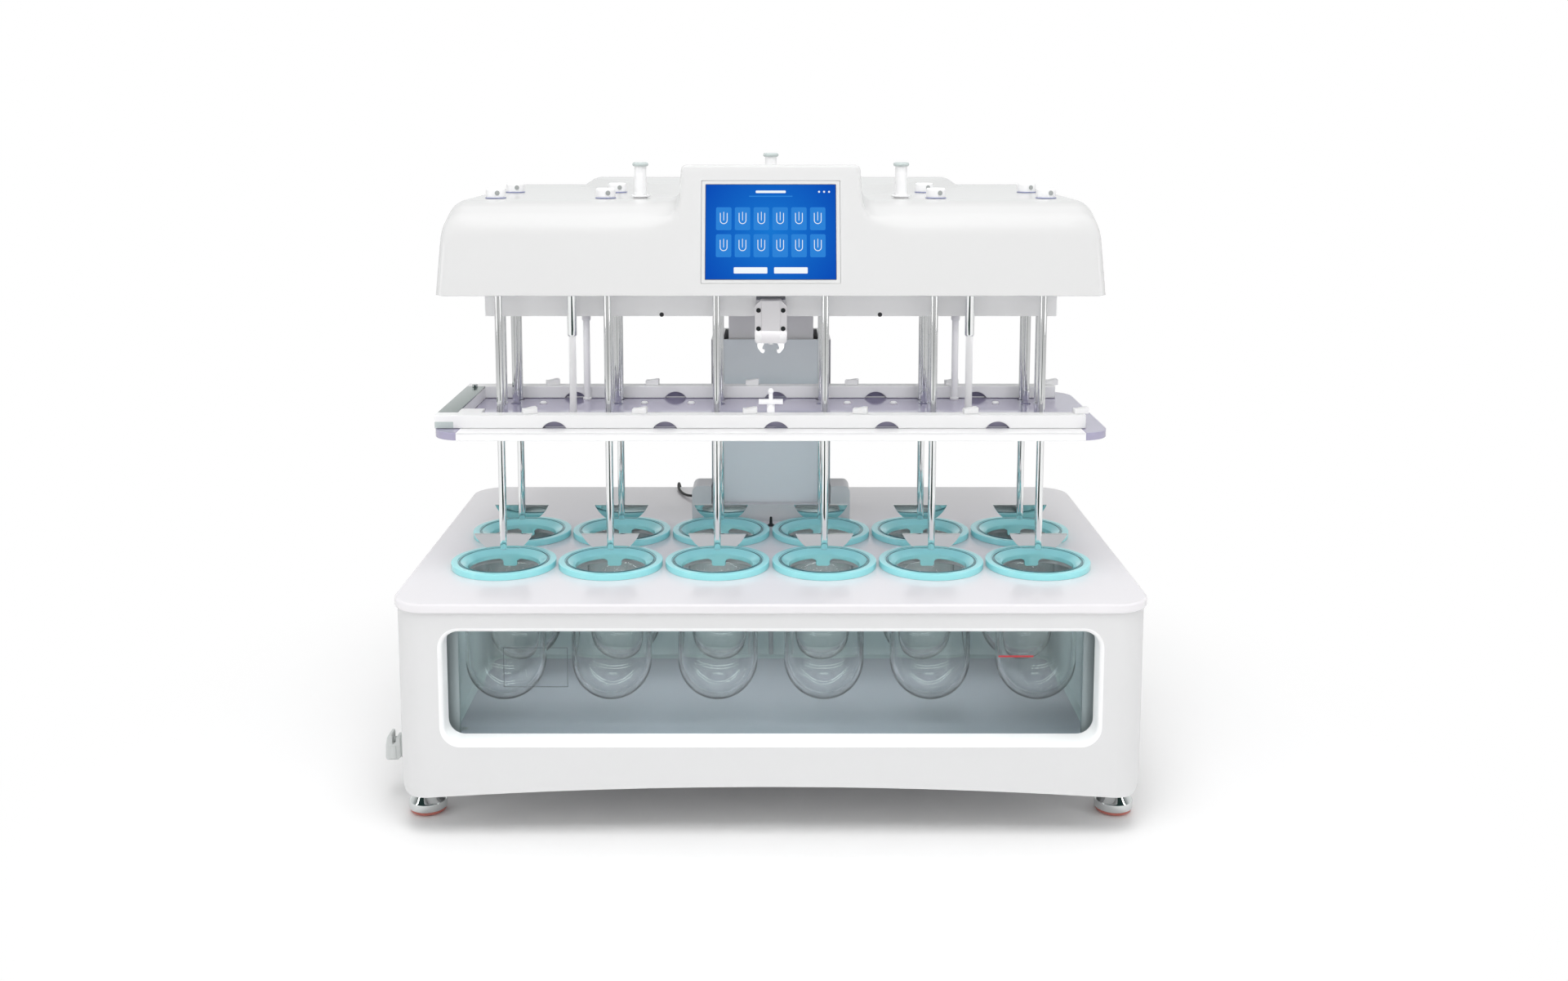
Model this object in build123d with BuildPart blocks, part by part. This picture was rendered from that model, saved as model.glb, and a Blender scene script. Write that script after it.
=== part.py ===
"""Twelve-station tablet dissolution tester: water bath base, lifting stirrer head and tablet tray.

Millimetres, +Z up, front towards -Y. The origin is the middle of the bounding box, on the floor.
The machine's centre plane stands at x = cx, because the drain valve reaches past the left side only.
"""

import math
import os

from build123d import *

os.makedirs("parts", exist_ok=True)

# Driving sizes of the whole machine
station_columns = 6
station_pitch = 138.0
flange_gap = 4.5
ring_lip = 0.5
row_gap = 12.5
deck_side_margin = 112.5
deck_front_margin = 160.0
deck_back_margin = 273.0
deck_top = 294.0
drain_reach = 33.5
head_bottom = 659.0
head_height = 109.0
tray_top = 484.4

# The grid of stations and what follows from it
flange_od = station_pitch - flange_gap
ring_od = flange_od + 2 * ring_lip
row_spacing = ring_od + row_gap
row_length = (station_columns - 1) * station_pitch
deck_width = row_length + 2 * deck_side_margin
deck_depth = deck_front_margin + row_spacing + deck_back_margin
front_row_y = deck_front_margin - deck_depth / 2
back_row_y = front_row_y + row_spacing
head_top = head_bottom + head_height

# Clearances and overruns
running_clearance = 0.06
seat_clearance = 0.3
sliding_clearance = 0.5
overrun = 5.0

# Sides of the round pieces that repeat: flat-sided prisms keep the whole part light
plain_sides = 12
coarse_sides = 8

# Deck plate
deck_thickness = 12.0
deck_corner_r = 45.0
deck_edge = 2.0
vessel_hole_clearance = 1.0

# Base cabinet, a hollow shell with a window frame turned inwards
cabinet_side_inset = 3.5
cabinet_front_inset = 3.0
cabinet_bottom = 41.0
cabinet_wall = 4.0
cabinet_corner_r = 42.0
cabinet_foot_r = 28.0
arch_rise = 24.0
bottom_flange = 46.0
window_margin = 60.0
window_sill = 120.0
window_height = 138.8
window_corner_r = 20.0
window_reveal = 30.0
reveal_wall = 3.5

# Floor pan with three bearers under the tank
floor_thickness = 3.0
bearer_width = 60.0
bearer_inset = 88.0

# Bath tank
tank_side_margin = 73.0
tank_front_gap = 49.0
tank_back_gap = 9.0
tank_wall = 6.0
tank_corner = 20.0
tank_bottom = 88.0

# Vessels
vessel_od = 104.0
vessel_wall = 2.5
vessel_bottom = 117.0
bowl_shares = ((0.36, 1.0), (0.8, 0.62))
flange_thickness = 3.5

# Centring rings on the vessels
ring_height = 8.0
ring_top_bore = 110.0
ring_bevel_drop = 3.5
ring_bore = 95.0
tab_length = 18.0
tab_thickness = 2.5
tab_inset = 1.5
tab_width = 29.0
tab_tip_width = 20.0
tab_count = 3

# Lift column
column_width = 170.0
column_depth = 120.0
column_top = 555.0
column_rail = 17.0
column_back_wall = 8.0
panel_thickness = 3.0
panel_recess = 2.0
stage_gap = 7.5
stage_depth = 90.0
stage_wall = 4.0
stage_bottom = 330.0
stage_headroom = 16.0

# Lift drive
lift_motor_side = 76.0
lift_motor_height = 46.0
screw_d = 16.0
coupling_d = 28.0
coupling_height = 30.0
nut_height = 15.0
screw_margin = 16.0

# Shroud round the foot of the column
shroud_cheek = 28.0
shroud_gap = 1.75
shroud_lead = 14.0
shroud_low_height = 24.0
shroud_side_height = 51.0
shroud_side_depth = 48.0
shroud_corner_r = 9.0

# Heater and pump unit behind the tank
heater_width = 150.0
heater_depth = 105.0
heater_height = 110.0
heater_x = -225.0
heater_gap = 30.0
pump_d = 64.0
pump_length = 60.0
nipple_d = 14.0
nipple_low = 24.0
nipple_high = 78.0

# Power inlet and rocker switch in the back wall
inlet_width = 50.0
inlet_height = 32.0
inlet_depth = 30.0
inlet_lip = 2.0
inlet_inset = 124.0
inlet_z = 130.0
socket_width = 24.0
socket_height = 16.0
switch_width = 16.0
switch_height = 24.0
switch_spacing = 50.0
switch_tilt = 7.0
switch_rim = 1.6
switch_gap = 1.0
switch_body = 14.0
switch_pin_d = 3.0

# Drain valve on the left side
drain_inset = 61.0
drain_z = 80.0
drain_pipe_d = 12.0
drain_pipe_inside = 62.0
valve_block_width = 26.0
valve_block_length = 17.0
valve_block_low = 19.0
valve_block_high = 11.0
valve_block_edge = 2.0
lever_thickness = 13.0
lever_width = 20.0
lever_length = 34.0
lever_pin_d = 8.0
lever_taper = 3.0

# Bath temperature sensor through the deck
sensor_inset = 28.0
sensor_pin_d = 4.0
sensor_pin_height = 13.0
sensor_flare_d = 12.0
sensor_flare_height = 2.0
sensor_sheath_d = 8.0
sensor_sheath_bottom = 185.0

# Feet
foot_inset_x = 21.0
foot_inset_y = 77.0
foot_d = 48.0
foot_pad_height = 5.0
foot_pad_d = 45.0
foot_band_height = 11.0
foot_cone_height = 15.0
foot_neck_d = 27.0
foot_stem_d = 14.0

# Cable from the column to the back wall, its route chosen by hand from the deck's back edge
cable_d = 4.0
cable_sides = 6
cable_route = [
    (-92.0, -86.0, 301.0),
    (-110.0, -86.0, 301.0),
    (-131.0, -66.0, 296.4),
    (-144.0, -28.0, 297.0),
    (-145.0, 10.0, 301.0),
    (-141.0, 25.0, 272.0),
    (-135.0, 18.0, 238.5),
    (-135.0, -0.5, 238.5),
]
arc_share = 0.45
gland_d = 13.0
gland_taper = 3.5

# Head cover: side profile, screen housing and rear fairing
head_side_margin = 55.0
head_front_lead = 117.0
head_back_lead = 264.0
head_wall = 4.0
front_tilt = 16.7
side_draft = 2.5
shoulder_run = 77.0
shoulder_slope = 22.0
brow_r = 38.0
crown_r = 110.0
head_edge_r = 18.0
bezel_width = 220.0
bezel_rise = 44.0
bezel_ridge = 22.0
bezel_back_run = 23.0
bezel_back_rise = 7.0
bezel_corner_r = 6.5
bezel_foot_rise = 40.0
bezel_foot_width = 238.0
fairing_height = 11.0
fairing_half_width = 262.0
fairing_corner_run = 128.0
fairing_nose_run = 231.0
fairing_nose_half = 120.0
fairing_foot_spread = 12.0
fairing_foot_lead = 52.0

# Touchscreen
screen_width = 166.0
screen_height = 125.5
screen_thickness = 3.0
screen_rise = 74.2
screen_ledge = 7.0

# Chassis under the head: a sheet box with a drive plate on top
chassis_side_margin = 20.0
chassis_setback = 15.0
chassis_column_gap = 10.0
chassis_drop = 42.0
chassis_wall = 2.5
drive_plate_rise = 21.0
drive_plate_thickness = 4.0
drive_plate_lead = 30.0
notch_width = 37.0
bridge_inset = 5.5
bridge_web = 8.0

# Shafts, paddles and their drive
shaft_d = 9.75
shaft_tip_drop = 1.0
blade_lift = 23.0
blade_height = 19.0
blade_top_width = 74.5
blade_bottom_width = 42.0
blade_thickness = 4.0
pulley_d = 40.0
pulley_height = 12.0
pulley_lift = 2.0
belt_thickness = 1.5
belt_width = 10.0
bearing_bar_width = 26.0
bearing_height = 8.0
hub_d = 24.5
hub_gap = 1.0
hub_height = 12.0
motor_side = 57.0
motor_height = 55.0

# Probe carriage, its tubes and its three guide posts
carriage_drop = 33.0
carriage_thickness = 4.0
probe_d = 9.3
probe_lift = 2.6
front_probe_setback = 27.0
back_probe_lead = 31.0
passage_clearance = 2.0
post_d = 15.0
frame_share = 1.5
post_inset = 43.4
post_setback = 5.0
post_rise = 45.0
centre_post_rise = 10.0
post_cap_d = 20.0
post_cap_height = 5.0
collar_neck_d = 18.0
collar_d = 24.0
collar_disc = 2.0
collar_depth = 8.0

# Sleeves and rods that carry the tray
sleeve_offset = 45.0
sleeve_od = 12.0
sleeve_drop = 65.0
sleeve_rise = 41.0
rod_d = 9.0
rod_reach = 46.0
rod_foot_d = 12.0
rod_foot_height = 3.0

# Tray
tray_side_margin = 73.5
tray_front_lead = 77.0
tray_back_lead = 61.0
tray_thickness = 9.5
tray_corner_r = 35.0
strip_inset = 32.0
strip_thickness = 3.0
strip_proud = 0.8
plug_d = 9.0
plug_height = 3.0
plug_left_offset = 36.5
plug_centre_offset = 36.8
plug_right_offset = 41.0

# Catch post on the tray
catch_lead = 8.0
catch_ball_d = 7.5
catch_ball_rise = 37.1
ball_shares = ((0.7, 0.12), (1.0, 0.4), (1.0, 0.6), (0.5, 1.0))
catch_neck_d = 5.2
catch_pillar_d = 10.0
catch_foot_d = 16.0
catch_bar_width = 31.0
catch_bar_depth = 9.0
catch_bar_height = 5.5
catch_bar_rise = 20.6
catch_knob_d = 10.0
catch_knob_rise = 15.1
catch_knob_reach = 9.0

# Tablet frame: two rails and an end beam that slide on the tray
frame_end_gap = 26.5
rail_height = 16.8
rail_depth = 20.5
front_rail_lead = 51.5
back_rail_setback = 7.0
rail_chamfer = 2.0
scallop_width = 30.0
scallop_height = 8.5
scallop_shift = 6.5
end_beam_width = 25.0
end_plate_thickness = 2.0
end_screw_d = 8.0
end_screw_height = 4.0
corner_pad_width = 30.0
corner_pad_depth = 24.0
cover_width = 18.0
cover_depth = 10.0
cover_height = 8.0
cover_shift = 43.0
cover_set_share = 0.7
cover_yaws = (20.0, -6.0, 0.0, -12.0, 9.0, 4.0)

# Catch block and its two claws
block_width = 40.6
block_rise = 22.4
block_height = 55.2
block_thickness = 15.7
block_chamfer = 7.5
block_foot_chamfer = 2.5
block_rib_width = 23.4
block_rib_proud = 1.2
claw_pivot_x = 14.05
claw_pivot_rise = 6.1
claw_pivot_d = 10.4
claw_pin_d = 4.0
claw_thickness = 7.0
claw_slot_depth = 8.0
claw_mouth_r = 7.2
claw_mouth_drop = 12.8
claw_arm_width = 7.6
claw_tip_drop = 19.5
claw_tip_x = 7.4
claw_tip_lead = 1.6
claw_mouth_depth = 3.0

# Places worked out from the sizes above
cx = drain_reach / 2
column_places = [cx + (i - (station_columns - 1) / 2) * station_pitch for i in range(station_columns)]
shroud_front_y = back_row_y + ring_od / 2 + shroud_gap
column_front_y = shroud_front_y + shroud_lead
tank_width = row_length + 2 * tank_side_margin
tank_front_y = tank_front_gap - deck_depth / 2
tank_back_y = column_front_y - tank_back_gap
drain_y = tank_front_y + drain_inset
sensor_y = tank_back_y - sensor_inset
chassis_front_y = front_row_y + chassis_setback
chassis_back_y = column_front_y - chassis_column_gap
catch_y = chassis_front_y - catch_lead
front_probe_y = front_row_y + front_probe_setback
back_probe_y = back_row_y - back_probe_lead
post_x = frame_share * station_pitch - post_inset
post_y = front_row_y + post_setback
centre_post_y = (front_row_y + back_row_y) / 2
sleeve_x = frame_share * station_pitch + sleeve_offset
front_stations = [(x, front_row_y) for x in column_places]
back_stations = [(x, back_row_y) for x in column_places]
stations = front_stations + back_stations
probe_places = [(x, front_probe_y) for x in column_places] + [(x, back_probe_y) for x in column_places]
sleeve_places = [(cx + side * sleeve_x, y) for y in (front_row_y, back_row_y) for side in (-1, 1)]
post_places = [(cx - post_x, post_y), (cx + post_x, post_y), (cx, centre_post_y)]
post_rises = [0, 0, centre_post_rise]
deck_bottom = deck_top - deck_thickness
cabinet_width = deck_width - 2 * cabinet_side_inset
cabinet_depth = deck_depth - 2 * cabinet_front_inset
column_mid_y = column_front_y + column_depth / 2
stage_width = column_width - 2 * column_rail - 2 * stage_gap
bridge_width = stage_width - 2 * bridge_inset
shroud_width = column_width + 2 * shroud_cheek
drive_plate_bottom = head_bottom + drive_plate_rise
drive_plate_top = drive_plate_bottom + drive_plate_thickness
stage_top = head_top - stage_headroom
carriage_bottom = head_top - carriage_drop
tray_bottom = tray_top - tray_thickness


def rounded_slab(width, depth, radius, centre_y, bottom, top):
    """A plate or block with rounded upright corners, centred on the machine's centre plane."""
    with BuildPart() as slab:
        with BuildSketch(Plane.XY.offset(bottom)):
            with Locations((cx, centre_y)):
                RectangleRounded(width, depth, radius)
        extrude(amount=top - bottom)
    return slab.part


def chamfered_slab(width, depth, corner, centre_y, bottom, top):
    """A plate or block with its upright corners cut off, for pieces inside the cabinet."""
    with BuildPart() as slab:
        with BuildSketch(Plane.XY.offset(bottom)) as outline:
            with Locations((cx, centre_y)):
                Rectangle(width, depth)
            chamfer(outline.vertices(), length=corner)
        extrude(amount=top - bottom)
    return slab.part


def block(width, depth, centre_x, centre_y, bottom, top):
    """A square-cornered block that stands from bottom to top."""
    with BuildPart() as made:
        with BuildSketch(Plane.XY.offset(bottom)):
            with Locations((centre_x, centre_y)):
                Rectangle(width, depth)
        extrude(amount=top - bottom)
    return made.part


def rods(diameter, places, bottom, top, sides=plain_sides):
    """Upright round posts at the given places, with their corners on the true circle."""
    with BuildPart() as made:
        with BuildSketch(Plane.XY.offset(bottom)):
            with Locations(*places):
                RegularPolygon(diameter / 2, sides)
        extrude(amount=top - bottom)
    return made.part


def holes(diameter, places, bottom, top, sides=coarse_sides):
    """Upright round holes at the given places, with their flats on the true circle."""
    with BuildPart() as made:
        with BuildSketch(Plane.XY.offset(bottom)):
            with Locations(*places):
                RegularPolygon(diameter / 2, sides, major_radius=False)
        extrude(amount=top - bottom)
    return made.part


def turned(profile, sides=plain_sides):
    """A piece turned about the upright axis, in flat-sided bands through (radius, height) pairs."""
    turns = [2 * math.pi * i / sides for i in range(sides)]
    rings = [[Vector(r * math.cos(a), r * math.sin(a), z) for a in turns] for r, z in profile]
    faces = [Face(Wire.make_polygon(rings[0])), Face(Wire.make_polygon(rings[-1]))]
    for low, high in zip(rings, rings[1:]):
        for i in range(sides):
            faces.append(Face(Wire.make_polygon([low[i - 1], low[i], high[i], high[i - 1]])))
    return Solid(Shell(faces))


def at_places(solid, places):
    """The same solid at each place, kept as separate solids."""
    with BuildPart() as group:
        with Locations(*places):
            add(solid)
    return group.part


def finish(name, part):
    """Labels a sub-part and writes its file."""
    part.label = name
    export_step(part, f"parts/{name}.step")


# Deck plate with its vessel holes and the opening for the lift column
with BuildPart() as deck_plate:
    add(rounded_slab(deck_width, deck_depth, deck_corner_r, 0, deck_bottom, deck_top))
    chamfer(deck_plate.edges().group_by(Axis.Z)[-1], deck_edge)
    hole_d = vessel_od + 2 * vessel_hole_clearance
    add(holes(hole_d, stations, deck_bottom - overrun, deck_top + overrun), mode=Mode.SUBTRACT)
    opening_width = column_width + 2 * sliding_clearance
    opening_depth = column_depth + 2 * sliding_clearance
    add(
        block(opening_width, opening_depth, cx, column_mid_y, deck_bottom - overrun, deck_top + overrun),
        mode=Mode.SUBTRACT,
    )
    sheath_hole = sensor_sheath_d + 2 * seat_clearance
    add(
        holes(sheath_hole, [(cx, sensor_y)], deck_bottom - overrun, deck_top + overrun),
        mode=Mode.SUBTRACT,
    )
finish("deck_plate", deck_plate.part)

# Base cabinet
cabinet_inside = cabinet_bottom + arch_rise + cabinet_wall
cabinet_half = cabinet_width / 2
arch_end = cabinet_half - cabinet_foot_r
foot_x = cabinet_half - foot_inset_x
foot_y = cabinet_depth / 2 - foot_inset_y
foot_places = [(cx + sx * foot_x, sy * foot_y) for sx in (-1, 1) for sy in (-1, 1)]
window_width = cabinet_width - 2 * window_margin
inlet_x = cabinet_half - inlet_inset
switch_x = inlet_x - switch_spacing
window_z = window_sill + window_height / 2
back_wall_y = cabinet_depth / 2
gland_hole_d = gland_d - gland_taper

with BuildPart() as base_cabinet:
    add(
        rounded_slab(
            cabinet_width, cabinet_depth, cabinet_corner_r, 0, cabinet_bottom - overrun, deck_bottom
        )
    )
    with BuildSketch(Plane.XZ):
        with BuildLine():
            low = cabinet_bottom
            high = cabinet_bottom + cabinet_foot_r
            Line((cx - cabinet_half, deck_bottom), (cx - cabinet_half, high))
            RadiusArc((cx - cabinet_half, high), (cx - arch_end, low), -cabinet_foot_r)
            ThreePointArc((cx - arch_end, low), (cx, low + arch_rise), (cx + arch_end, low))
            RadiusArc((cx + arch_end, low), (cx + cabinet_half, high), -cabinet_foot_r)
            Line((cx + cabinet_half, high), (cx + cabinet_half, deck_bottom))
            Line((cx + cabinet_half, deck_bottom), (cx - cabinet_half, deck_bottom))
        make_face()
    extrude(amount=cabinet_depth, both=True, mode=Mode.INTERSECT)
    inside_width = cabinet_width - 2 * cabinet_wall
    inside_depth = cabinet_depth - 2 * cabinet_wall
    inside_corner = (cabinet_corner_r - cabinet_wall) * (2 - math.sqrt(2))
    add(
        chamfered_slab(
            inside_width, inside_depth, inside_corner, 0, cabinet_inside, deck_bottom + overrun
        ),
        mode=Mode.SUBTRACT,
    )
    with BuildSketch(Plane.XZ.offset(cabinet_depth / 2)) as frame:
        with Locations((cx, window_z)):
            Rectangle(window_width + 2 * reveal_wall, window_height + 2 * reveal_wall)
        chamfer(frame.vertices(), length=window_corner_r / 2)
    extrude(amount=-window_reveal)
    with BuildSketch(Plane.XZ.offset(cabinet_depth / 2 + overrun)):
        with Locations((cx, window_z)):
            RectangleRounded(window_width, window_height, window_corner_r)
    extrude(amount=-(window_reveal + 2 * overrun), mode=Mode.SUBTRACT)
    flange_width = cabinet_width - 2 * bottom_flange
    flange_depth = cabinet_depth - 2 * bottom_flange
    add(
        block(
            flange_width,
            flange_depth,
            cx,
            0,
            cabinet_bottom - overrun,
            cabinet_inside + overrun,
        ),
        mode=Mode.SUBTRACT,
    )
    stem_hole = foot_stem_d + 2 * seat_clearance
    add(
        holes(stem_hole, foot_places, cabinet_bottom - overrun, cabinet_inside + overrun),
        mode=Mode.SUBTRACT,
    )
    with BuildSketch(Plane.XZ.offset(-back_wall_y - overrun)):
        with Locations((cx + inlet_x, inlet_z)):
            Rectangle(inlet_width - 2 * inlet_lip, inlet_height - 2 * inlet_lip)
        with Locations((cx + switch_x, inlet_z)):
            Rectangle(switch_width + 2 * switch_gap, switch_height + 2 * switch_gap)
        with Locations((cx + cable_route[-1][0], cable_route[-1][2])):
            RegularPolygon(gland_hole_d / 2, coarse_sides)
    extrude(amount=cabinet_wall + 2 * overrun, mode=Mode.SUBTRACT)
    with BuildSketch(Plane.YZ.offset(cx - cabinet_half - overrun)):
        with Locations((drain_y, drain_z)):
            RegularPolygon(drain_pipe_d / 2 + seat_clearance, coarse_sides, major_radius=False)
    extrude(amount=cabinet_wall + 2 * overrun, mode=Mode.SUBTRACT)
finish("base_cabinet", base_cabinet.part)

# Floor pan on the cabinet's ledge, with bearers up to the tank
floor_bottom = cabinet_inside + seat_clearance
floor_top = floor_bottom + floor_thickness
floor_width = cabinet_width - 2 * cabinet_wall - 2 * sliding_clearance
floor_depth = cabinet_depth - 2 * cabinet_wall - 2 * sliding_clearance
bearer_spacing = tank_width / 2 - bearer_inset
tank_depth = tank_back_y - tank_front_y
tank_mid_y = (tank_back_y + tank_front_y) / 2

with BuildPart() as floor_pan:
    add(chamfered_slab(floor_width, floor_depth, cabinet_corner_r, 0, floor_bottom, floor_top))
    with BuildSketch(Plane.XY.offset(floor_top)):
        for side in (-1, 0, 1):
            with Locations((cx + side * bearer_spacing, tank_mid_y)):
                Rectangle(bearer_width, tank_depth - 2 * tank_corner)
    extrude(amount=tank_bottom - floor_top)
    add(
        holes(
            drain_pipe_d + 2 * sliding_clearance,
            [(cx - cabinet_width / 2 + drain_pipe_inside, drain_y)],
            floor_bottom - overrun,
            tank_bottom + overrun,
        ),
        mode=Mode.SUBTRACT,
    )
finish("floor_pan", floor_pan.part)

# Bath tank, open at the top
tank_top = deck_bottom - seat_clearance
tank_floor_top = tank_bottom + tank_wall
drain_corner_x = cx - cabinet_width / 2 + drain_pipe_inside
nipple_x = [cx + heater_x - heater_width / 4, cx + heater_x + heater_width / 4]
nipple_z = [tank_floor_top + nipple_low, tank_floor_top + nipple_high]

with BuildPart() as bath_tank:
    add(chamfered_slab(tank_width, tank_depth, tank_corner, tank_mid_y, tank_bottom, tank_top))
    add(
        chamfered_slab(
            tank_width - 2 * tank_wall,
            tank_depth - 2 * tank_wall,
            tank_corner - tank_wall,
            tank_mid_y,
            tank_floor_top,
            tank_top + overrun,
        ),
        mode=Mode.SUBTRACT,
    )
    add(
        holes(
            drain_pipe_d + 2 * seat_clearance,
            [(drain_corner_x, drain_y)],
            tank_bottom - overrun,
            tank_floor_top + overrun,
        ),
        mode=Mode.SUBTRACT,
    )
    with BuildSketch(Plane.XZ.offset(-tank_back_y - overrun)):
        with Locations(*zip(nipple_x, nipple_z)):
            RegularPolygon(nipple_d / 2 + seat_clearance, coarse_sides, major_radius=False)
    extrude(amount=tank_wall + 2 * overrun, mode=Mode.SUBTRACT)
finish("bath_tank", bath_tank.part)

# One vessel: a flanged glass tube with a rounded bottom
vessel_r = vessel_od / 2
bowl_z = vessel_bottom + vessel_r
flange_top = deck_top + flange_thickness


def bowl(radius, top):
    """A tube's solid form with its rounded bottom, up to the given height."""
    profile = [(wide * radius, bowl_z - deep * radius) for wide, deep in bowl_shares]
    return turned(profile + [(radius, bowl_z), (radius, top)])


with BuildPart() as vessel:
    add(bowl(vessel_r, deck_top))
    add(rods(flange_od, [(0, 0)], deck_top, flange_top))
    add(bowl(vessel_r - vessel_wall, flange_top + overrun), mode=Mode.SUBTRACT)
finish("vessels_front", at_places(vessel.part, front_stations))
finish("vessels_back", at_places(vessel.part, back_stations))

# One centring ring on the vessel's flange, with a bevelled bore and three hanging tabs
ring_top = deck_top + ring_height
ring_bore_r = ring_bore / 2
bevel_bottom = ring_top - ring_bevel_drop
tab_bottom = flange_top - tab_length
with BuildPart() as ring_tab:
    with BuildSketch(Plane.XZ.offset(ring_bore_r - tab_inset)):
        with BuildLine():
            Polyline(
                [
                    (-tab_width / 2, flange_top),
                    (tab_width / 2, flange_top),
                    (tab_tip_width / 2, tab_bottom),
                    (-tab_tip_width / 2, tab_bottom),
                ],
                close=True,
            )
        make_face()
    extrude(amount=-tab_thickness)
with BuildPart() as centring_ring:
    add(rods(ring_od, [(0, 0)], flange_top, ring_top))
    bevel = [(ring_bore_r, bevel_bottom), (ring_top_bore / 2, ring_top)]
    add(rods(ring_bore, [(0, 0)], flange_top, bevel_bottom), mode=Mode.SUBTRACT)
    add(turned(bevel), mode=Mode.SUBTRACT)
    half_side = 180 / plain_sides
    with PolarLocations(0, tab_count, start_angle=180 - half_side):
        add(ring_tab.part)
ring = centring_ring.part.rotate(Axis.Z, half_side)
finish("vessel_rings", at_places(ring, stations))

# Fixed lift column: a channel open to the front, with its panel
column_foot = floor_top + seat_clearance
with BuildPart() as fixed_column:
    add(block(column_width, column_depth, cx, column_mid_y, column_foot, column_top))
    cavity_width = column_width - 2 * column_rail
    cavity_depth = column_depth - column_back_wall
    add(
        block(
            cavity_width,
            cavity_depth + overrun,
            cx,
            column_front_y + (cavity_depth - overrun) / 2,
            column_foot - overrun,
            column_top + overrun,
        ),
        mode=Mode.SUBTRACT,
    )
    with BuildSketch(Plane.YZ.offset(cx - column_width / 2 - overrun)):
        with Locations((deck_depth / 2 + cable_route[0][1], cable_route[0][2])):
            RegularPolygon(gland_hole_d / 2, coarse_sides)
    extrude(amount=column_rail + 2 * overrun, mode=Mode.SUBTRACT)
finish("fixed_column", fixed_column.part)

panel_width = cavity_width - 2 * seat_clearance
panel_y = column_front_y + panel_recess + panel_thickness / 2
column_panel = block(panel_width, panel_thickness, cx, panel_y, deck_bottom, column_top)
finish("column_panel", column_panel)

# Lift motor in the foot of the column, its coupling and screw
motor_top = column_foot + lift_motor_height
screw_bottom = motor_top + seat_clearance
coupling_top = screw_bottom + coupling_height
screw_top = stage_bottom + nut_height + screw_margin
lift_motor = block(lift_motor_side, lift_motor_side, cx, column_mid_y, column_foot, motor_top)
finish("lift_motor", lift_motor)

with BuildPart() as lift_screw:
    add(rods(coupling_d, [(cx, column_mid_y)], screw_bottom, coupling_top, coarse_sides))
    add(rods(screw_d, [(cx, column_mid_y)], coupling_top, screw_top, coarse_sides))
finish("lift_screw", lift_screw.part)

# Shroud round the foot of the column: a low front step between two taller cheeks
with BuildPart() as column_shroud:
    with BuildSketch(Plane.XY.offset(deck_top)):
        with Locations((cx, (shroud_front_y + shroud_front_y + shroud_side_depth) / 2)):
            Rectangle(shroud_width, shroud_side_depth)
    extrude(amount=shroud_side_height)
    fillet(column_shroud.edges().filter_by(Axis.Y).group_by(Axis.Z)[-1], shroud_corner_r)
    step_width = column_width + 2 * seat_clearance
    add(
        block(
            step_width,
            shroud_side_depth + 2 * overrun,
            cx,
            shroud_front_y + shroud_side_depth / 2,
            deck_top + shroud_low_height,
            deck_top + shroud_side_height + overrun,
        ),
        mode=Mode.SUBTRACT,
    )
    add(
        block(
            column_width + 2 * seat_clearance,
            column_depth,
            cx,
            column_mid_y - seat_clearance,
            deck_top - overrun,
            deck_top + shroud_side_height + overrun,
        ),
        mode=Mode.SUBTRACT,
    )
finish("column_shroud", column_shroud.part)

# Heater box with its pump and two nipples into the tank
heater_y = tank_back_y + heater_gap + heater_depth / 2
heater_top = floor_top + heater_height
with BuildPart() as heater_pump:
    add(block(heater_width, heater_depth, cx + heater_x, heater_y, floor_top, heater_top))
    add(rods(pump_d, [(cx + heater_x, heater_y)], heater_top, heater_top + pump_length, coarse_sides))
    with BuildSketch(Plane.XZ.offset(-tank_back_y - heater_gap)):
        with Locations(*zip(nipple_x, nipple_z)):
            RegularPolygon(nipple_d / 2, coarse_sides)
    extrude(amount=heater_gap + tank_wall)
finish("heater_pump", heater_pump.part)

# Power inlet, sunk in the back wall
with BuildPart() as power_inlet:
    with BuildSketch(Plane.XZ.offset(-back_wall_y - inlet_lip)):
        with Locations((cx + inlet_x, inlet_z)):
            Rectangle(inlet_width, inlet_height)
    extrude(amount=inlet_lip)
    with BuildSketch(Plane.XZ.offset(-back_wall_y)):
        with Locations((cx + inlet_x, inlet_z)):
            body_gap = 2 * (inlet_lip + seat_clearance)
            Rectangle(inlet_width - body_gap, inlet_height - body_gap)
    extrude(amount=inlet_depth)
    with BuildSketch(Plane.XZ.offset(-back_wall_y - inlet_lip)):
        with Locations((cx + inlet_x, inlet_z)):
            Rectangle(socket_width, socket_height)
    extrude(amount=inlet_depth / 2, mode=Mode.SUBTRACT)
finish("power_inlet", power_inlet.part)

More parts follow.
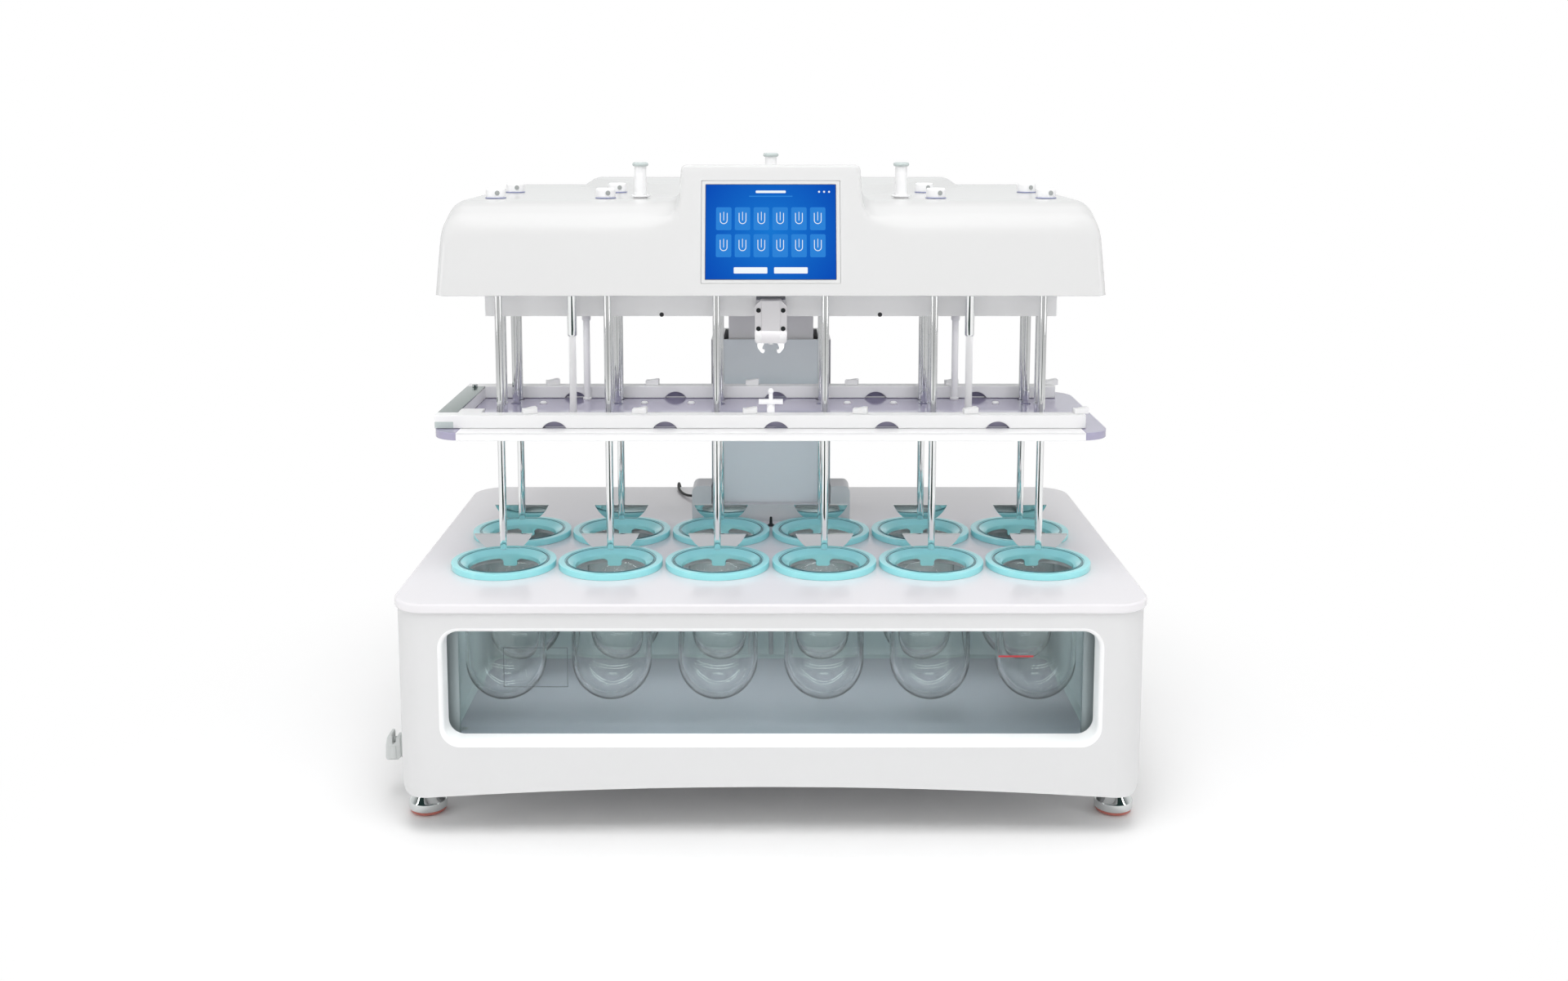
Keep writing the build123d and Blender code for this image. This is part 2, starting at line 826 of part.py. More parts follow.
# Rocker switch beside it, tipped to one side
with BuildPart() as power_switch:
    with BuildSketch(Plane.YZ.offset(cx + switch_x)):
        with BuildLine():
            rock = switch_height / 2 * math.tan(math.radians(switch_tilt))
            Polyline(
                [
                    (back_wall_y - cabinet_wall - switch_body, inlet_z - switch_height / 2),
                    (back_wall_y + switch_rim / 2, inlet_z - switch_height / 2),
                    (back_wall_y + switch_rim / 2 - rock, inlet_z),
                    (back_wall_y + switch_rim, inlet_z + switch_height / 2),
                    (back_wall_y - cabinet_wall - switch_body, inlet_z + switch_height / 2),
                ],
                close=True,
            )
        make_face()
    extrude(amount=switch_width / 2, both=True)
    with BuildSketch(Plane.YZ.offset(cx + switch_x)):
        with Locations((back_wall_y - cabinet_wall / 2, inlet_z)):
            RegularPolygon(switch_pin_d / 2, coarse_sides)
    extrude(amount=switch_width / 2 + switch_gap - running_clearance, both=True)
finish("power_switch", power_switch.part)

# Drain valve: a pipe from under the tank to a block outside the left wall
wall_x = cx - cabinet_half
block_right = wall_x - seat_clearance
block_left = block_right - valve_block_length
with BuildPart() as drain_valve:
    with BuildSketch(Plane.YZ.offset(block_right)):
        with Locations((drain_y, drain_z)):
            RegularPolygon(drain_pipe_d / 2, coarse_sides)
    extrude(amount=drain_corner_x - block_right)
    add(block(drain_pipe_d, drain_pipe_d, drain_corner_x, drain_y, drain_z - drain_pipe_d / 2, tank_bottom))
    add(rods(drain_pipe_d, [(drain_corner_x, drain_y)], tank_bottom, tank_floor_top, coarse_sides))
    with BuildSketch(Plane.YZ.offset(block_right)):
        with Locations((drain_y, drain_z + (valve_block_high - valve_block_low) / 2)):
            Rectangle(valve_block_width, valve_block_high + valve_block_low)
    extrude(amount=-valve_block_length)
    chamfer(drain_valve.faces().sort_by(Axis.X)[0].edges(), valve_block_edge)
    with BuildSketch(Plane.YZ.offset(block_left)):
        with Locations((drain_y, drain_z)):
            RegularPolygon(lever_pin_d / 2, plain_sides)
    extrude(amount=-(lever_thickness - 2 * sliding_clearance))
finish("drain_valve", drain_valve.part)

# Lever of the valve: it turns on the pin
lever_right = block_left - seat_clearance
lever_left = cx - deck_width / 2 - drain_reach
with BuildPart() as drain_lever:
    with BuildSketch(Plane.YZ.offset(lever_left)):
        with BuildLine():
            half = lever_width / 2
            low = drain_z - lever_length + half
            ThreePointArc((drain_y - half, drain_z), (drain_y, drain_z + half), (drain_y + half, drain_z))
            Line((drain_y + half, drain_z), (drain_y + half - lever_taper, low))
            Line((drain_y + half - lever_taper, low), (drain_y - half + lever_taper, low))
            Line((drain_y - half + lever_taper, low), (drain_y - half, drain_z))
        make_face()
    extrude(amount=lever_right - lever_left)
    with BuildSketch(Plane.YZ.offset(lever_left - overrun)):
        with Locations((drain_y, drain_z)):
            bore_r = lever_pin_d / 2 + running_clearance
            RegularPolygon(bore_r, plain_sides, major_radius=False)
    extrude(amount=lever_right - lever_left + 2 * overrun, mode=Mode.SUBTRACT)
finish("drain_lever", drain_lever.part)

# Bath sensor: a pin and flare on the deck, a sheath down into the bath
with BuildPart() as bath_sensor:
    add(rods(sensor_sheath_d, [(cx, sensor_y)], sensor_sheath_bottom, deck_top, coarse_sides))
    flare_top = deck_top + sensor_flare_height
    add(rods(sensor_flare_d, [(cx, sensor_y)], deck_top, flare_top))
    add(rods(sensor_pin_d, [(cx, sensor_y)], flare_top, deck_top + sensor_pin_height, coarse_sides))
finish("bath_sensor", bath_sensor.part)

# Feet: steel cups on stems, each on a rubber pad
band_top = foot_pad_height + foot_band_height
cone_top = band_top + foot_cone_height
with BuildPart() as foot:
    add(rods(foot_d, [(0, 0)], foot_pad_height, band_top))
    add(turned([(foot_d / 2, band_top), (foot_neck_d / 2, cone_top)]))
    add(rods(foot_stem_d, [(0, 0)], cone_top, floor_bottom, coarse_sides))
finish("foot_cups", at_places(foot.part, foot_places))
finish("foot_pads", rods(foot_pad_d, foot_places, 0, foot_pad_height))

# Cable: straight runs joined by arcs, from the column's gland to the one in the back wall
route = [Vector(cx + x, deck_depth / 2 + y, z) for x, y, z in cable_route]
radii = []
for before, here, after in zip(route, route[1:], route[2:]):
    turn = math.radians((here - before).get_angle(after - here))
    shorter = min((here - before).length, (after - here).length)
    radii.append(arc_share * shorter / math.tan(turn / 2))
print("cable arcs, mm:", [round(r, 1) for r in radii])

with BuildPart() as column_cable:
    with BuildLine():
        path = FilletPolyline(*route, radius=radii)
    with BuildSketch(Plane(origin=path @ 0, z_dir=path % 0)) as section:
        RegularPolygon(cable_d / 2, cable_sides)
    sweep(path=path)
solid_length = column_cable.part.volume / section.sketch.area
print("cable length, mm:", round(path.length, 1), "solid:", round(solid_length, 1))
finish("column_cable", column_cable.part)


def gland_at(wall_point, direction, length):
    """A nut on a wall, which the cable comes out of."""
    with BuildPart() as made:
        with BuildSketch(Plane(origin=wall_point, z_dir=direction)):
            RegularPolygon(gland_d / 2, plain_sides)
        extrude(amount=length)
    return made.part


column_wall_point = Vector(cx - column_width / 2, route[0].Y, route[0].Z)
rear_wall_point = Vector(route[-1].X, back_wall_y, route[-1].Z)
with BuildPart() as cable_glands:
    add(gland_at(column_wall_point, Vector(-1, 0, 0), (column_wall_point - route[0]).length))
    add(gland_at(rear_wall_point, Vector(0, 1, 0), (rear_wall_point - route[-1]).length))
finish("cable_glands", cable_glands.part)

# Head cover
head_width = row_length + 2 * head_side_margin
head_front_y = front_row_y - head_front_lead
head_back_y = back_row_y + head_back_lead
shoulder_y = head_front_y + shoulder_run
tilt_run = math.tan(math.radians(front_tilt))
shoulder_rise = math.tan(math.radians(shoulder_slope))
draft_run = math.tan(math.radians(side_draft))


def front_y_at(z):
    """The y of the cover's leaning front face at height z."""
    return head_front_y + (z - head_bottom) * tilt_run


with BuildPart() as head_outer:
    start_y = front_y_at(head_bottom)
    reach = shoulder_rise * (start_y - shoulder_y)
    brow_up = (head_top - head_bottom + reach) / (1 - shoulder_rise * tilt_run)
    with BuildSketch(Plane.YZ.offset(cx)):
        with BuildLine():
            FilletPolyline(
                (start_y, head_bottom),
                (start_y + brow_up * tilt_run, head_bottom + brow_up),
                (shoulder_y, head_top),
                (head_back_y, head_top),
                radius=[brow_r, crown_r],
            )
            Line((head_back_y, head_top), (head_back_y, head_bottom))
            Line((head_back_y, head_bottom), (start_y, head_bottom))
        make_face()
    extrude(amount=head_width, both=True)
    with BuildSketch(Plane.XZ):
        with BuildLine():
            half_low = head_width / 2
            half_top = half_low - (head_top - head_bottom) * draft_run
            FilletPolyline(
                (cx - half_low, head_bottom),
                (cx - half_top, head_top),
                (cx + half_top, head_top),
                (cx + half_low, head_bottom),
                radius=head_edge_r,
            )
            Line((cx + half_low, head_bottom), (cx - half_low, head_bottom))
        make_face()
    extrude(amount=head_width, both=True, mode=Mode.INTERSECT)
    with BuildSketch(Plane.XY.offset(head_bottom)) as plan:
        with Locations((cx, head_front_y)):
            Rectangle(head_width, 2 * head_width, align=(Align.CENTER, Align.MIN))
        fillet(plan.vertices().group_by(Axis.Y)[0], head_edge_r)
    extrude(amount=head_width, dir=(0, tilt_run, 1), mode=Mode.INTERSECT)

# The hollow under the cover follows its outside in flat faces
with BuildPart() as head_hollow:
    inner_top = head_top - head_wall
    inner_front = front_y_at(head_bottom) + head_wall / math.cos(math.radians(front_tilt))
    brow_inset = 2 * head_wall
    inner_brow_y = front_y_at(head_bottom + brow_up) + brow_inset
    inner_brow_z = head_bottom + brow_up - brow_inset
    with BuildSketch(Plane.YZ.offset(cx)):
        with BuildLine():
            Polyline(
                [
                    (inner_front - overrun * tilt_run, head_bottom - overrun),
                    (inner_brow_y - brow_inset / 2, inner_brow_z - brow_inset),
                    (inner_brow_y + brow_inset, inner_brow_z + brow_inset / 4),
                    (shoulder_y + 2 * brow_inset, inner_top),
                    (head_back_y - head_wall, inner_top),
                    (head_back_y - head_wall, head_bottom - overrun),
                ],
                close=True,
            )
        make_face()
    extrude(amount=head_width, both=True)
    with BuildSketch(Plane.XZ):
        with BuildLine():
            inner_low = head_width / 2 - head_wall
            inner_high = half_top - head_edge_r
            knee_z = head_top - head_edge_r
            knee = half_low - (knee_z - head_bottom) * draft_run - head_wall
            Polyline(
                [
                    (cx - inner_low, head_bottom - overrun),
                    (cx + inner_low, head_bottom - overrun),
                    (cx + knee, knee_z),
                    (cx + inner_high, inner_top),
                    (cx - inner_high, inner_top),
                    (cx - knee, knee_z),
                ],
                close=True,
            )
        make_face()
    extrude(amount=head_width, both=True, mode=Mode.INTERSECT)


# The low fairing behind the screen housing, wider towards the back
bezel_back_y = shoulder_y + bezel_back_run
fairing_corner_y = head_back_y - fairing_corner_run
fairing_nose_y = head_back_y - fairing_nose_run
fairing_foot_nose_y = bezel_back_y + fairing_foot_lead
foot_half = fairing_half_width + fairing_foot_spread
foot_corner_y = fairing_corner_y + fairing_foot_spread
fairing_foot = [
    (-foot_half, head_back_y),
    (-foot_half, foot_corner_y),
    (-bezel_width / 2, fairing_foot_nose_y),
    (bezel_width / 2, fairing_foot_nose_y),
    (foot_half, foot_corner_y),
    (foot_half, head_back_y),
]
fairing_top = [
    (-fairing_half_width, head_back_y),
    (-fairing_half_width, fairing_corner_y),
    (-fairing_nose_half, fairing_nose_y),
    (fairing_nose_half, fairing_nose_y),
    (fairing_half_width, fairing_corner_y),
    (fairing_half_width, head_back_y),
]
foot_ring = [Vector(cx + x, y, head_top) for x, y in fairing_foot]
top_ring = [Vector(cx + x, y, head_top + fairing_height) for x, y in fairing_top]
facets = [Face(Wire.make_polygon(ring)) for ring in (foot_ring, top_ring)]
for i in range(len(foot_ring)):
    low, low_next, high, high_next = foot_ring[i - 1], foot_ring[i], top_ring[i - 1], top_ring[i]
    facets.append(Face(Wire.make_polygon([low, low_next, high_next])))
    facets.append(Face(Wire.make_polygon([low, high_next, high])))
fairing = Solid(Shell(facets))

# Screen housing: it keeps the front face's lean and slopes down behind
bezel_top = head_top + bezel_rise
bezel_back_z = head_top + bezel_back_rise
bezel_foot = head_bottom + bezel_foot_rise
screen_z = head_bottom + screen_rise
with BuildPart() as bezel:
    with BuildSketch(Plane.YZ.offset(cx)):
        with BuildLine():
            Polyline(
                [
                    (front_y_at(bezel_foot), bezel_foot),
                    (front_y_at(bezel_top), bezel_top),
                    (front_y_at(bezel_top) + bezel_ridge, bezel_top),
                    (bezel_back_y, bezel_back_z),
                    (bezel_back_y, head_top - head_wall),
                    (shoulder_y, bezel_foot),
                ],
                close=True,
            )
        make_face()
    extrude(amount=bezel_foot_width, both=True)
    with BuildSketch(Plane.XZ):
        with BuildLine():
            FilletPolyline(
                (cx - bezel_foot_width / 2, bezel_foot),
                (cx - bezel_width / 2, head_top),
                (cx - bezel_width / 2 + draft_run * bezel_corner_r, bezel_top),
                (cx + bezel_width / 2 - draft_run * bezel_corner_r, bezel_top),
                (cx + bezel_width / 2, head_top),
                (cx + bezel_foot_width / 2, bezel_foot),
                radius=[4 * bezel_corner_r, bezel_corner_r, bezel_corner_r, 4 * bezel_corner_r],
            )
            Line((cx + bezel_foot_width / 2, bezel_foot), (cx - bezel_foot_width / 2, bezel_foot))
        make_face()
    extrude(amount=head_width, both=True, mode=Mode.INTERSECT)

screen_plane = Plane(
    origin=(cx, front_y_at(screen_z), screen_z),
    x_dir=(1, 0, 0),
    z_dir=(0, -math.cos(math.radians(front_tilt)), math.sin(math.radians(front_tilt))),
)

with BuildPart() as head_cover:
    add(head_outer.part)
    add(fairing)
    add(bezel.part)
    add(head_hollow.part, mode=Mode.SUBTRACT)
    shaft_hole = shaft_d + 2 * passage_clearance
    fairing_top_z = head_top + fairing_height
    add(holes(shaft_hole, stations, head_bottom, fairing_top_z), mode=Mode.SUBTRACT)
    hub_pocket = hub_d + 2 * passage_clearance
    pockets = [place for place in back_stations if abs(place[0] - cx) < station_pitch]
    add(holes(hub_pocket, pockets, head_top, fairing_top_z), mode=Mode.SUBTRACT)
    neck_hole = collar_neck_d + 2 * seat_clearance
    add(holes(neck_hole, post_places, head_bottom, fairing_top_z), mode=Mode.SUBTRACT)
    with BuildSketch(screen_plane.offset(overrun)):
        Rectangle(screen_width + 2 * seat_clearance, screen_height + 2 * seat_clearance)
    extrude(amount=-(overrun + screen_thickness), mode=Mode.SUBTRACT)
    with BuildSketch(screen_plane):
        Rectangle(screen_width - 2 * screen_ledge, screen_height - 2 * screen_ledge)
    extrude(amount=-(head_wall + bezel_ridge), mode=Mode.SUBTRACT)
finish("head_cover", head_cover.part)

with BuildPart() as touchscreen:
    with BuildSketch(screen_plane.offset(-screen_thickness)):
        Rectangle(screen_width, screen_height)
    extrude(amount=screen_thickness)
finish("touchscreen", touchscreen.part)

# Chassis: a sheet skirt below the drive plate, and the bridge to the lift stage
chassis_width = row_length + 2 * chassis_side_margin
chassis_bottom = head_bottom - chassis_drop
chassis_mid_y = (chassis_front_y + chassis_back_y) / 2
chassis_depth = chassis_back_y - chassis_front_y
cover_lean = (inner_low - knee) / (knee_z - head_bottom + overrun)
cover_reach = inner_low - (drive_plate_top - head_bottom + overrun) * cover_lean
drive_plate_width = 2 * (cover_reach - seat_clearance)
drive_plate_front_y = front_row_y - drive_plate_lead
drive_plate_mid_y = (drive_plate_front_y + chassis_back_y) / 2
plate_depth = chassis_back_y - drive_plate_front_y
bearing_slot = shaft_d + 2 * passage_clearance
probe_slot = probe_d + 2 * passage_clearance
slot_rows = [
    (front_row_y, bearing_slot),
    (back_row_y, bearing_slot),
    (front_probe_y, probe_slot),
    (back_probe_y, probe_slot),
]
with BuildPart() as head_chassis:
    add(block(chassis_width, chassis_depth, cx, chassis_mid_y, chassis_bottom, drive_plate_bottom))
    inner_width = chassis_width - 2 * chassis_wall
    inner_depth = chassis_depth - 2 * chassis_wall
    add(
        block(inner_width, inner_depth, cx, chassis_mid_y, chassis_bottom - overrun, drive_plate_bottom),
        mode=Mode.SUBTRACT,
    )
    add(block(drive_plate_width, plate_depth, cx, drive_plate_mid_y, drive_plate_bottom, drive_plate_top))
    bridge_y = chassis_back_y - bridge_web / 2
    bridge_top = stage_top - stage_wall
    add(block(bridge_width, bridge_web, cx, bridge_y, drive_plate_top, bridge_top))
    for row_y, slot_width in slot_rows:
        slot_length = row_length + slot_width
        add(
            block(slot_length, slot_width, cx, row_y, drive_plate_bottom, drive_plate_top),
            mode=Mode.SUBTRACT,
        )
    sleeve_hole = sleeve_od + 2 * seat_clearance
    add(holes(sleeve_hole, sleeve_places, drive_plate_bottom, drive_plate_top), mode=Mode.SUBTRACT)
    notch_top = drive_plate_bottom - overrun
    add(
        block(notch_width, 2 * overrun, cx, chassis_front_y, chassis_bottom - overrun, notch_top),
        mode=Mode.SUBTRACT,
    )
finish("head_chassis", head_chassis.part)

# Moving stage of the lift: a tube inside the column, hung from the bridge, with the nut at its foot
stage_mid_y = column_mid_y
with BuildPart() as head_column:
    add(block(stage_width, stage_depth, cx, stage_mid_y, stage_bottom + nut_height, stage_top))
    add(
        block(
            stage_width - 2 * stage_wall,
            stage_depth - 2 * stage_wall,
            cx,
            stage_mid_y,
            stage_bottom + nut_height - overrun,
            stage_top - stage_wall,
        ),
        mode=Mode.SUBTRACT,
    )
    bridge_front_y = chassis_back_y - bridge_web
    bridge_back_y = stage_mid_y - stage_depth / 2
    add(
        block(
            bridge_width,
            bridge_back_y - bridge_front_y,
            cx,
            (bridge_front_y + bridge_back_y) / 2,
            stage_top - stage_wall,
            stage_top,
        )
    )
    add(block(stage_width, stage_depth, cx, stage_mid_y, stage_bottom, stage_bottom + nut_height))
    add(
        holes(
            screw_d + 2 * sliding_clearance,
            [(cx, stage_mid_y)],
            stage_bottom - overrun,
            stage_bottom + nut_height + overrun,
        ),
        mode=Mode.SUBTRACT,
    )
finish("head_column", head_column.part)

# Bearing bars: one under the drive plate along each row of shafts
bearing_bottom = drive_plate_bottom - bearing_height
bearing_hole = shaft_d + 2 * running_clearance
bar_length = row_length + bearing_bar_width
with BuildPart() as bearing_bars:
    for row_y, row in ((front_row_y, front_stations), (back_row_y, back_stations)):
        add(block(bar_length, bearing_bar_width, cx, row_y, bearing_bottom, drive_plate_bottom))
        add(holes(bearing_hole, row, bearing_bottom, drive_plate_bottom), mode=Mode.SUBTRACT)
    add(holes(sleeve_hole, sleeve_places, bearing_bottom, drive_plate_bottom), mode=Mode.SUBTRACT)
    motor_gap = motor_side + 2 * seat_clearance
    add(
        block(motor_gap, bearing_bar_width, cx, back_row_y, bearing_bottom, drive_plate_bottom),
        mode=Mode.SUBTRACT,
    )
finish("bearing_bars", bearing_bars.part)

# Stirrer motor under the drive plate, its pulley and the belt round all thirteen pulleys
pulley_bottom = drive_plate_top + pulley_lift
pulley_top = pulley_bottom + pulley_height
motor_bottom = drive_plate_bottom - motor_height
stir_motor = block(motor_side, motor_side, cx, back_row_y, motor_bottom, drive_plate_bottom)
finish("stir_motor", stir_motor)

with BuildPart() as drive_pulley:
    add(rods(pulley_d, [(cx, back_row_y)], pulley_bottom, pulley_top))
    shaft_bottom = drive_plate_bottom + seat_clearance
    add(rods(shaft_d, [(cx, back_row_y)], shaft_bottom, pulley_bottom, coarse_sides))
finish("drive_pulley", drive_pulley.part)

belt_r = pulley_d / 2 + seat_clearance
belt_depth = back_row_y - front_row_y
belt_mid_y = (back_row_y + front_row_y) / 2
belt_bottom = pulley_bottom + (pulley_height - belt_width) / 2
with BuildPart() as stir_belt:
    with BuildSketch(Plane.XY.offset(belt_bottom)):
        with Locations((cx, belt_mid_y)):
            for reach, mode in ((belt_r + belt_thickness, Mode.ADD), (belt_r, Mode.SUBTRACT)):
                RectangleRounded(row_length + 2 * reach, belt_depth + 2 * reach, reach, mode=mode)
    extrude(amount=belt_width)
finish("stir_belt", stir_belt.part)

# One paddle: shaft, blade, pulley and the white drive hub on top of the cover
blade_bottom = deck_top + blade_lift
blade_top = blade_bottom + blade_height
blade_half_low = blade_bottom_width / 2
blade_half_high = blade_top_width / 2
arc_rise = (blade_half_high**2 - blade_half_low**2 - blade_height**2) / (2 * blade_height)
blade_half_mid = math.sqrt(blade_half_high**2 + arc_rise**2 - (arc_rise + blade_height / 2) ** 2)
hub_bottom = head_top + hub_gap
hub_top = hub_bottom + hub_height
with BuildPart() as stirrer:
    add(rods(shaft_d, [(0, 0)], blade_bottom - shaft_tip_drop, hub_bottom, coarse_sides))
    with BuildSketch(Plane.XZ):
        with BuildLine():
            blade_mid = blade_bottom + blade_height / 2
            Line((-blade_half_low, blade_bottom), (blade_half_low, blade_bottom))
            ThreePointArc(
                (blade_half_low, blade_bottom), (blade_half_mid, blade_mid), (blade_half_high, blade_top)
            )
            Line((blade_half_high, blade_top), (-blade_half_high, blade_top))
            ThreePointArc(
                (-blade_half_high, blade_top), (-blade_half_mid, blade_mid), (-blade_half_low, blade_bottom)
            )
        make_face()
    extrude(amount=blade_thickness / 2, both=True)
    add(rods(pulley_d, [(0, 0)], pulley_bottom, pulley_top, coarse_sides))
    add(rods(hub_d, [(0, 0)], hub_bottom, hub_top))

for number, place in enumerate(stations, start=1):
    with BuildPart() as paddle:
        with Locations(place):
            add(stirrer.part)
    finish(f"paddle_{number:02d}", paddle.part)

# Probe carriage: a plate between the two rows of shafts, its probes and three guide posts
carriage_top = carriage_bottom + carriage_thickness
shaft_reach = shaft_d / 2 + passage_clearance
carriage_front_y = front_row_y + shaft_reach
carriage_back_y = back_row_y - shaft_reach
carriage_mid_y = (carriage_front_y + carriage_back_y) / 2
carriage_depth = carriage_back_y - carriage_front_y
carriage_width = row_length + 2 * shaft_reach + probe_d
lug_width = post_d + 2 * passage_clearance
lug_depth = carriage_front_y - post_y + lug_width / 2
with BuildPart() as probe_carriage:
    add(block(carriage_width, carriage_depth, cx, carriage_mid_y, carriage_bottom, carriage_top))
    lug_y = carriage_front_y - lug_depth / 2
    for x, y in post_places[:2]:
        add(block(lug_width, lug_depth, x, lug_y, carriage_bottom, carriage_top))
finish("probe_carriage", probe_carriage.part)

probe_bottom = tray_top + probe_lift
probes = rods(probe_d, probe_places, probe_bottom, carriage_bottom, coarse_sides)
finish("probe_tubes", probes)

post_top = head_top + post_rise
with BuildPart() as guide_posts:
    for place, rise in zip(post_places, post_rises):
        cap_bottom = post_top + rise - post_cap_height
        add(rods(post_d, [place], carriage_top, cap_bottom))
        add(rods(post_cap_d, [place], cap_bottom, post_top + rise))
finish("guide_posts", guide_posts.part)

# Collars that guide the posts through the cover
with BuildPart() as guide_collars:
    for place, rise in zip(post_places, post_rises):
        disc_bottom = head_top + rise + collar_disc
        disc_top = disc_bottom + collar_disc
        bore = post_d + 2 * seat_clearance
        add(rods(collar_neck_d, [place], head_top - collar_depth, disc_bottom))
        add(rods(collar_d, [place], disc_bottom, disc_top))
        add(holes(bore, [place], head_top - collar_depth, disc_top), mode=Mode.SUBTRACT)
finish("guide_collars", guide_collars.part)

# Sleeves under the head and the rods that carry the tray
sleeve_bottom = head_bottom - sleeve_drop
sleeve_top = head_bottom + sleeve_rise
rod_top = sleeve_bottom + rod_reach
with BuildPart() as rod_sleeves:
    add(rods(sleeve_od, sleeve_places, sleeve_bottom, sleeve_top))
    rod_bore = rod_d + 2 * seat_clearance
    add(holes(rod_bore, sleeve_places, sleeve_bottom, sleeve_top), mode=Mode.SUBTRACT)
finish("rod_sleeves", rod_sleeves.part)

with BuildPart() as tray_rods:
    rod_foot_top = tray_top + rod_foot_height
    add(rods(rod_foot_d, sleeve_places, tray_top, rod_foot_top))
    add(rods(rod_d, sleeve_places, rod_foot_top, rod_top, coarse_sides))
finish("tray_rods", tray_rods.part)

# Tray plate with passages for the shafts and the probes, and the white strip along its front
tray_width = row_length + 2 * tray_side_margin
tray_front_y = front_row_y - tray_front_lead
tray_back_y = back_row_y + tray_back_lead
tray_mid_y = (tray_front_y + tray_back_y) / 2
with BuildPart() as tray_plate:
    add(
        rounded_slab(
            tray_width, tray_back_y - tray_front_y, tray_corner_r, tray_mid_y, tray_bottom, tray_top
        )
    )
    add(
        holes(shaft_hole, stations, tray_bottom - overrun, tray_top + overrun),
        mode=Mode.SUBTRACT,
    )
    add(
        holes(probe_slot, probe_places, tray_bottom - overrun, tray_top + overrun),
        mode=Mode.SUBTRACT,
    )
    pin_hole = sensor_pin_d + 2 * passage_clearance
    add(
        holes(pin_hole, [(cx, sensor_y)], tray_bottom - overrun, tray_top + overrun),
        mode=Mode.SUBTRACT,
    )
finish("tray_plate", tray_plate.part)

strip_width = tray_width - 2 * strip_inset
strip_y = tray_front_y - strip_thickness / 2
tray_strip = block(strip_width, strip_thickness, cx, strip_y, tray_bottom, tray_top + strip_proud)
finish("tray_strip", tray_strip)

plug_shifts = [
    plug_left_offset,
    plug_left_offset,
    -plug_centre_offset,
    plug_centre_offset,
    -plug_right_offset,
    -plug_right_offset,
]
plug_places = [(x + shift, back_probe_y) for x, shift in zip(column_places, plug_shifts)]
finish("tray_plugs", rods(plug_d, plug_places, tray_top, tray_top + plug_height, coarse_sides))

# Catch post: foot, pillar, cross bar, neck and ball, with a round knob in front
catch_bar_bottom = tray_top + catch_bar_rise
catch_ball_z = tray_top + catch_ball_rise
catch_knob_z = tray_top + catch_knob_rise
with BuildPart() as catch_post:
    bar_top = catch_bar_bottom + catch_bar_height
    post_place = [(cx, catch_y)]
    add(rods(catch_foot_d, post_place, tray_top, tray_top + rod_foot_height))
    add(rods(catch_pillar_d, post_place, tray_top + rod_foot_height, catch_bar_bottom, coarse_sides))
    add(block(catch_bar_width, catch_bar_depth, cx, catch_y, catch_bar_bottom, bar_top))
    ball_r = catch_ball_d / 2
    ball_bottom = catch_ball_z - ball_r
    ball = [(wide * ball_r, ball_bottom + high * catch_ball_d) for wide, high in ball_shares]
    add(rods(catch_neck_d, post_place, bar_top, ball[0][1]))
    with Locations((cx, catch_y)):
        add(turned(ball))
    with BuildSketch(Plane.XZ.offset(-catch_y)):
        with Locations((cx, catch_knob_z)):
            RegularPolygon(catch_neck_d / 2, coarse_sides)
    extrude(amount=catch_knob_reach)
    with BuildSketch(Plane.XZ.offset(catch_knob_reach - catch_y)):
        with Locations((cx, catch_knob_z)):
            RegularPolygon(catch_knob_d / 2, plain_sides)
    extrude(amount=catch_knob_d / 2)
finish("catch_post", catch_post.part)

# Tablet frame: rails with a row of scallops along the bottom
frame_left = -tray_width / 2
frame_right = tray_width / 2 - frame_end_gap
front_rail_y = front_row_y - front_rail_lead
back_rail_y = back_row_y + back_rail_setback
rail_bottom = tray_top + seat_clearance
rail_top = rail_bottom + rail_height
rail_length = frame_right - frame_left
scallop_r = (scallop_width**2 / 4 + scallop_height**2) / (2 * scallop_height)
scallop_z = rail_bottom + scallop_height - scallop_r
gap_places = [x + station_pitch / 2 + scallop_shift for x in column_places[:-1]]


def rail(front_y):
    """One rail, from its front face back, with its scallops cut through."""
    with BuildPart() as made:
        with BuildSketch(Plane.YZ.offset(cx + frame_left)):
            with BuildLine():
                Polyline(
                    [
                        (front_y, rail_bottom),
                        (front_y + rail_depth, rail_bottom),
                        (front_y + rail_depth, rail_top),
                        (front_y + rail_chamfer, rail_top),
                        (front_y, rail_top - rail_chamfer),
                    ],
                    close=True,
                )
            make_face()
        extrude(amount=rail_length)
        with BuildSketch(Plane.XZ.offset(-front_y + overrun)):
            with Locations(*[(x, scallop_z) for x in gap_places]):
                RegularPolygon(scallop_r, 2 * plain_sides)
        extrude(amount=-(rail_depth + 2 * overrun), mode=Mode.SUBTRACT)
    return made.part


with BuildPart() as rail_front:
    add(rail(front_rail_y))
    pad_x = cx + frame_left + end_beam_width + corner_pad_width / 2
    pad_y = front_rail_y + rail_depth + corner_pad_depth / 2
    add(block(corner_pad_width, corner_pad_depth, pad_x, pad_y, rail_bottom, rail_top))
finish("rail_front", rail_front.part)
finish("rail_back", rail(back_rail_y))

beam_front_y = front_rail_y + rail_depth
beam_length = back_rail_y - beam_front_y
beam_mid_y = (back_rail_y + beam_front_y) / 2
beam_x = cx + frame_left + end_beam_width / 2
beam_top = rail_top - end_plate_thickness
end_beam = block(end_beam_width, beam_length, beam_x, beam_mid_y, rail_bottom, beam_top)
finish("end_beam", end_beam)

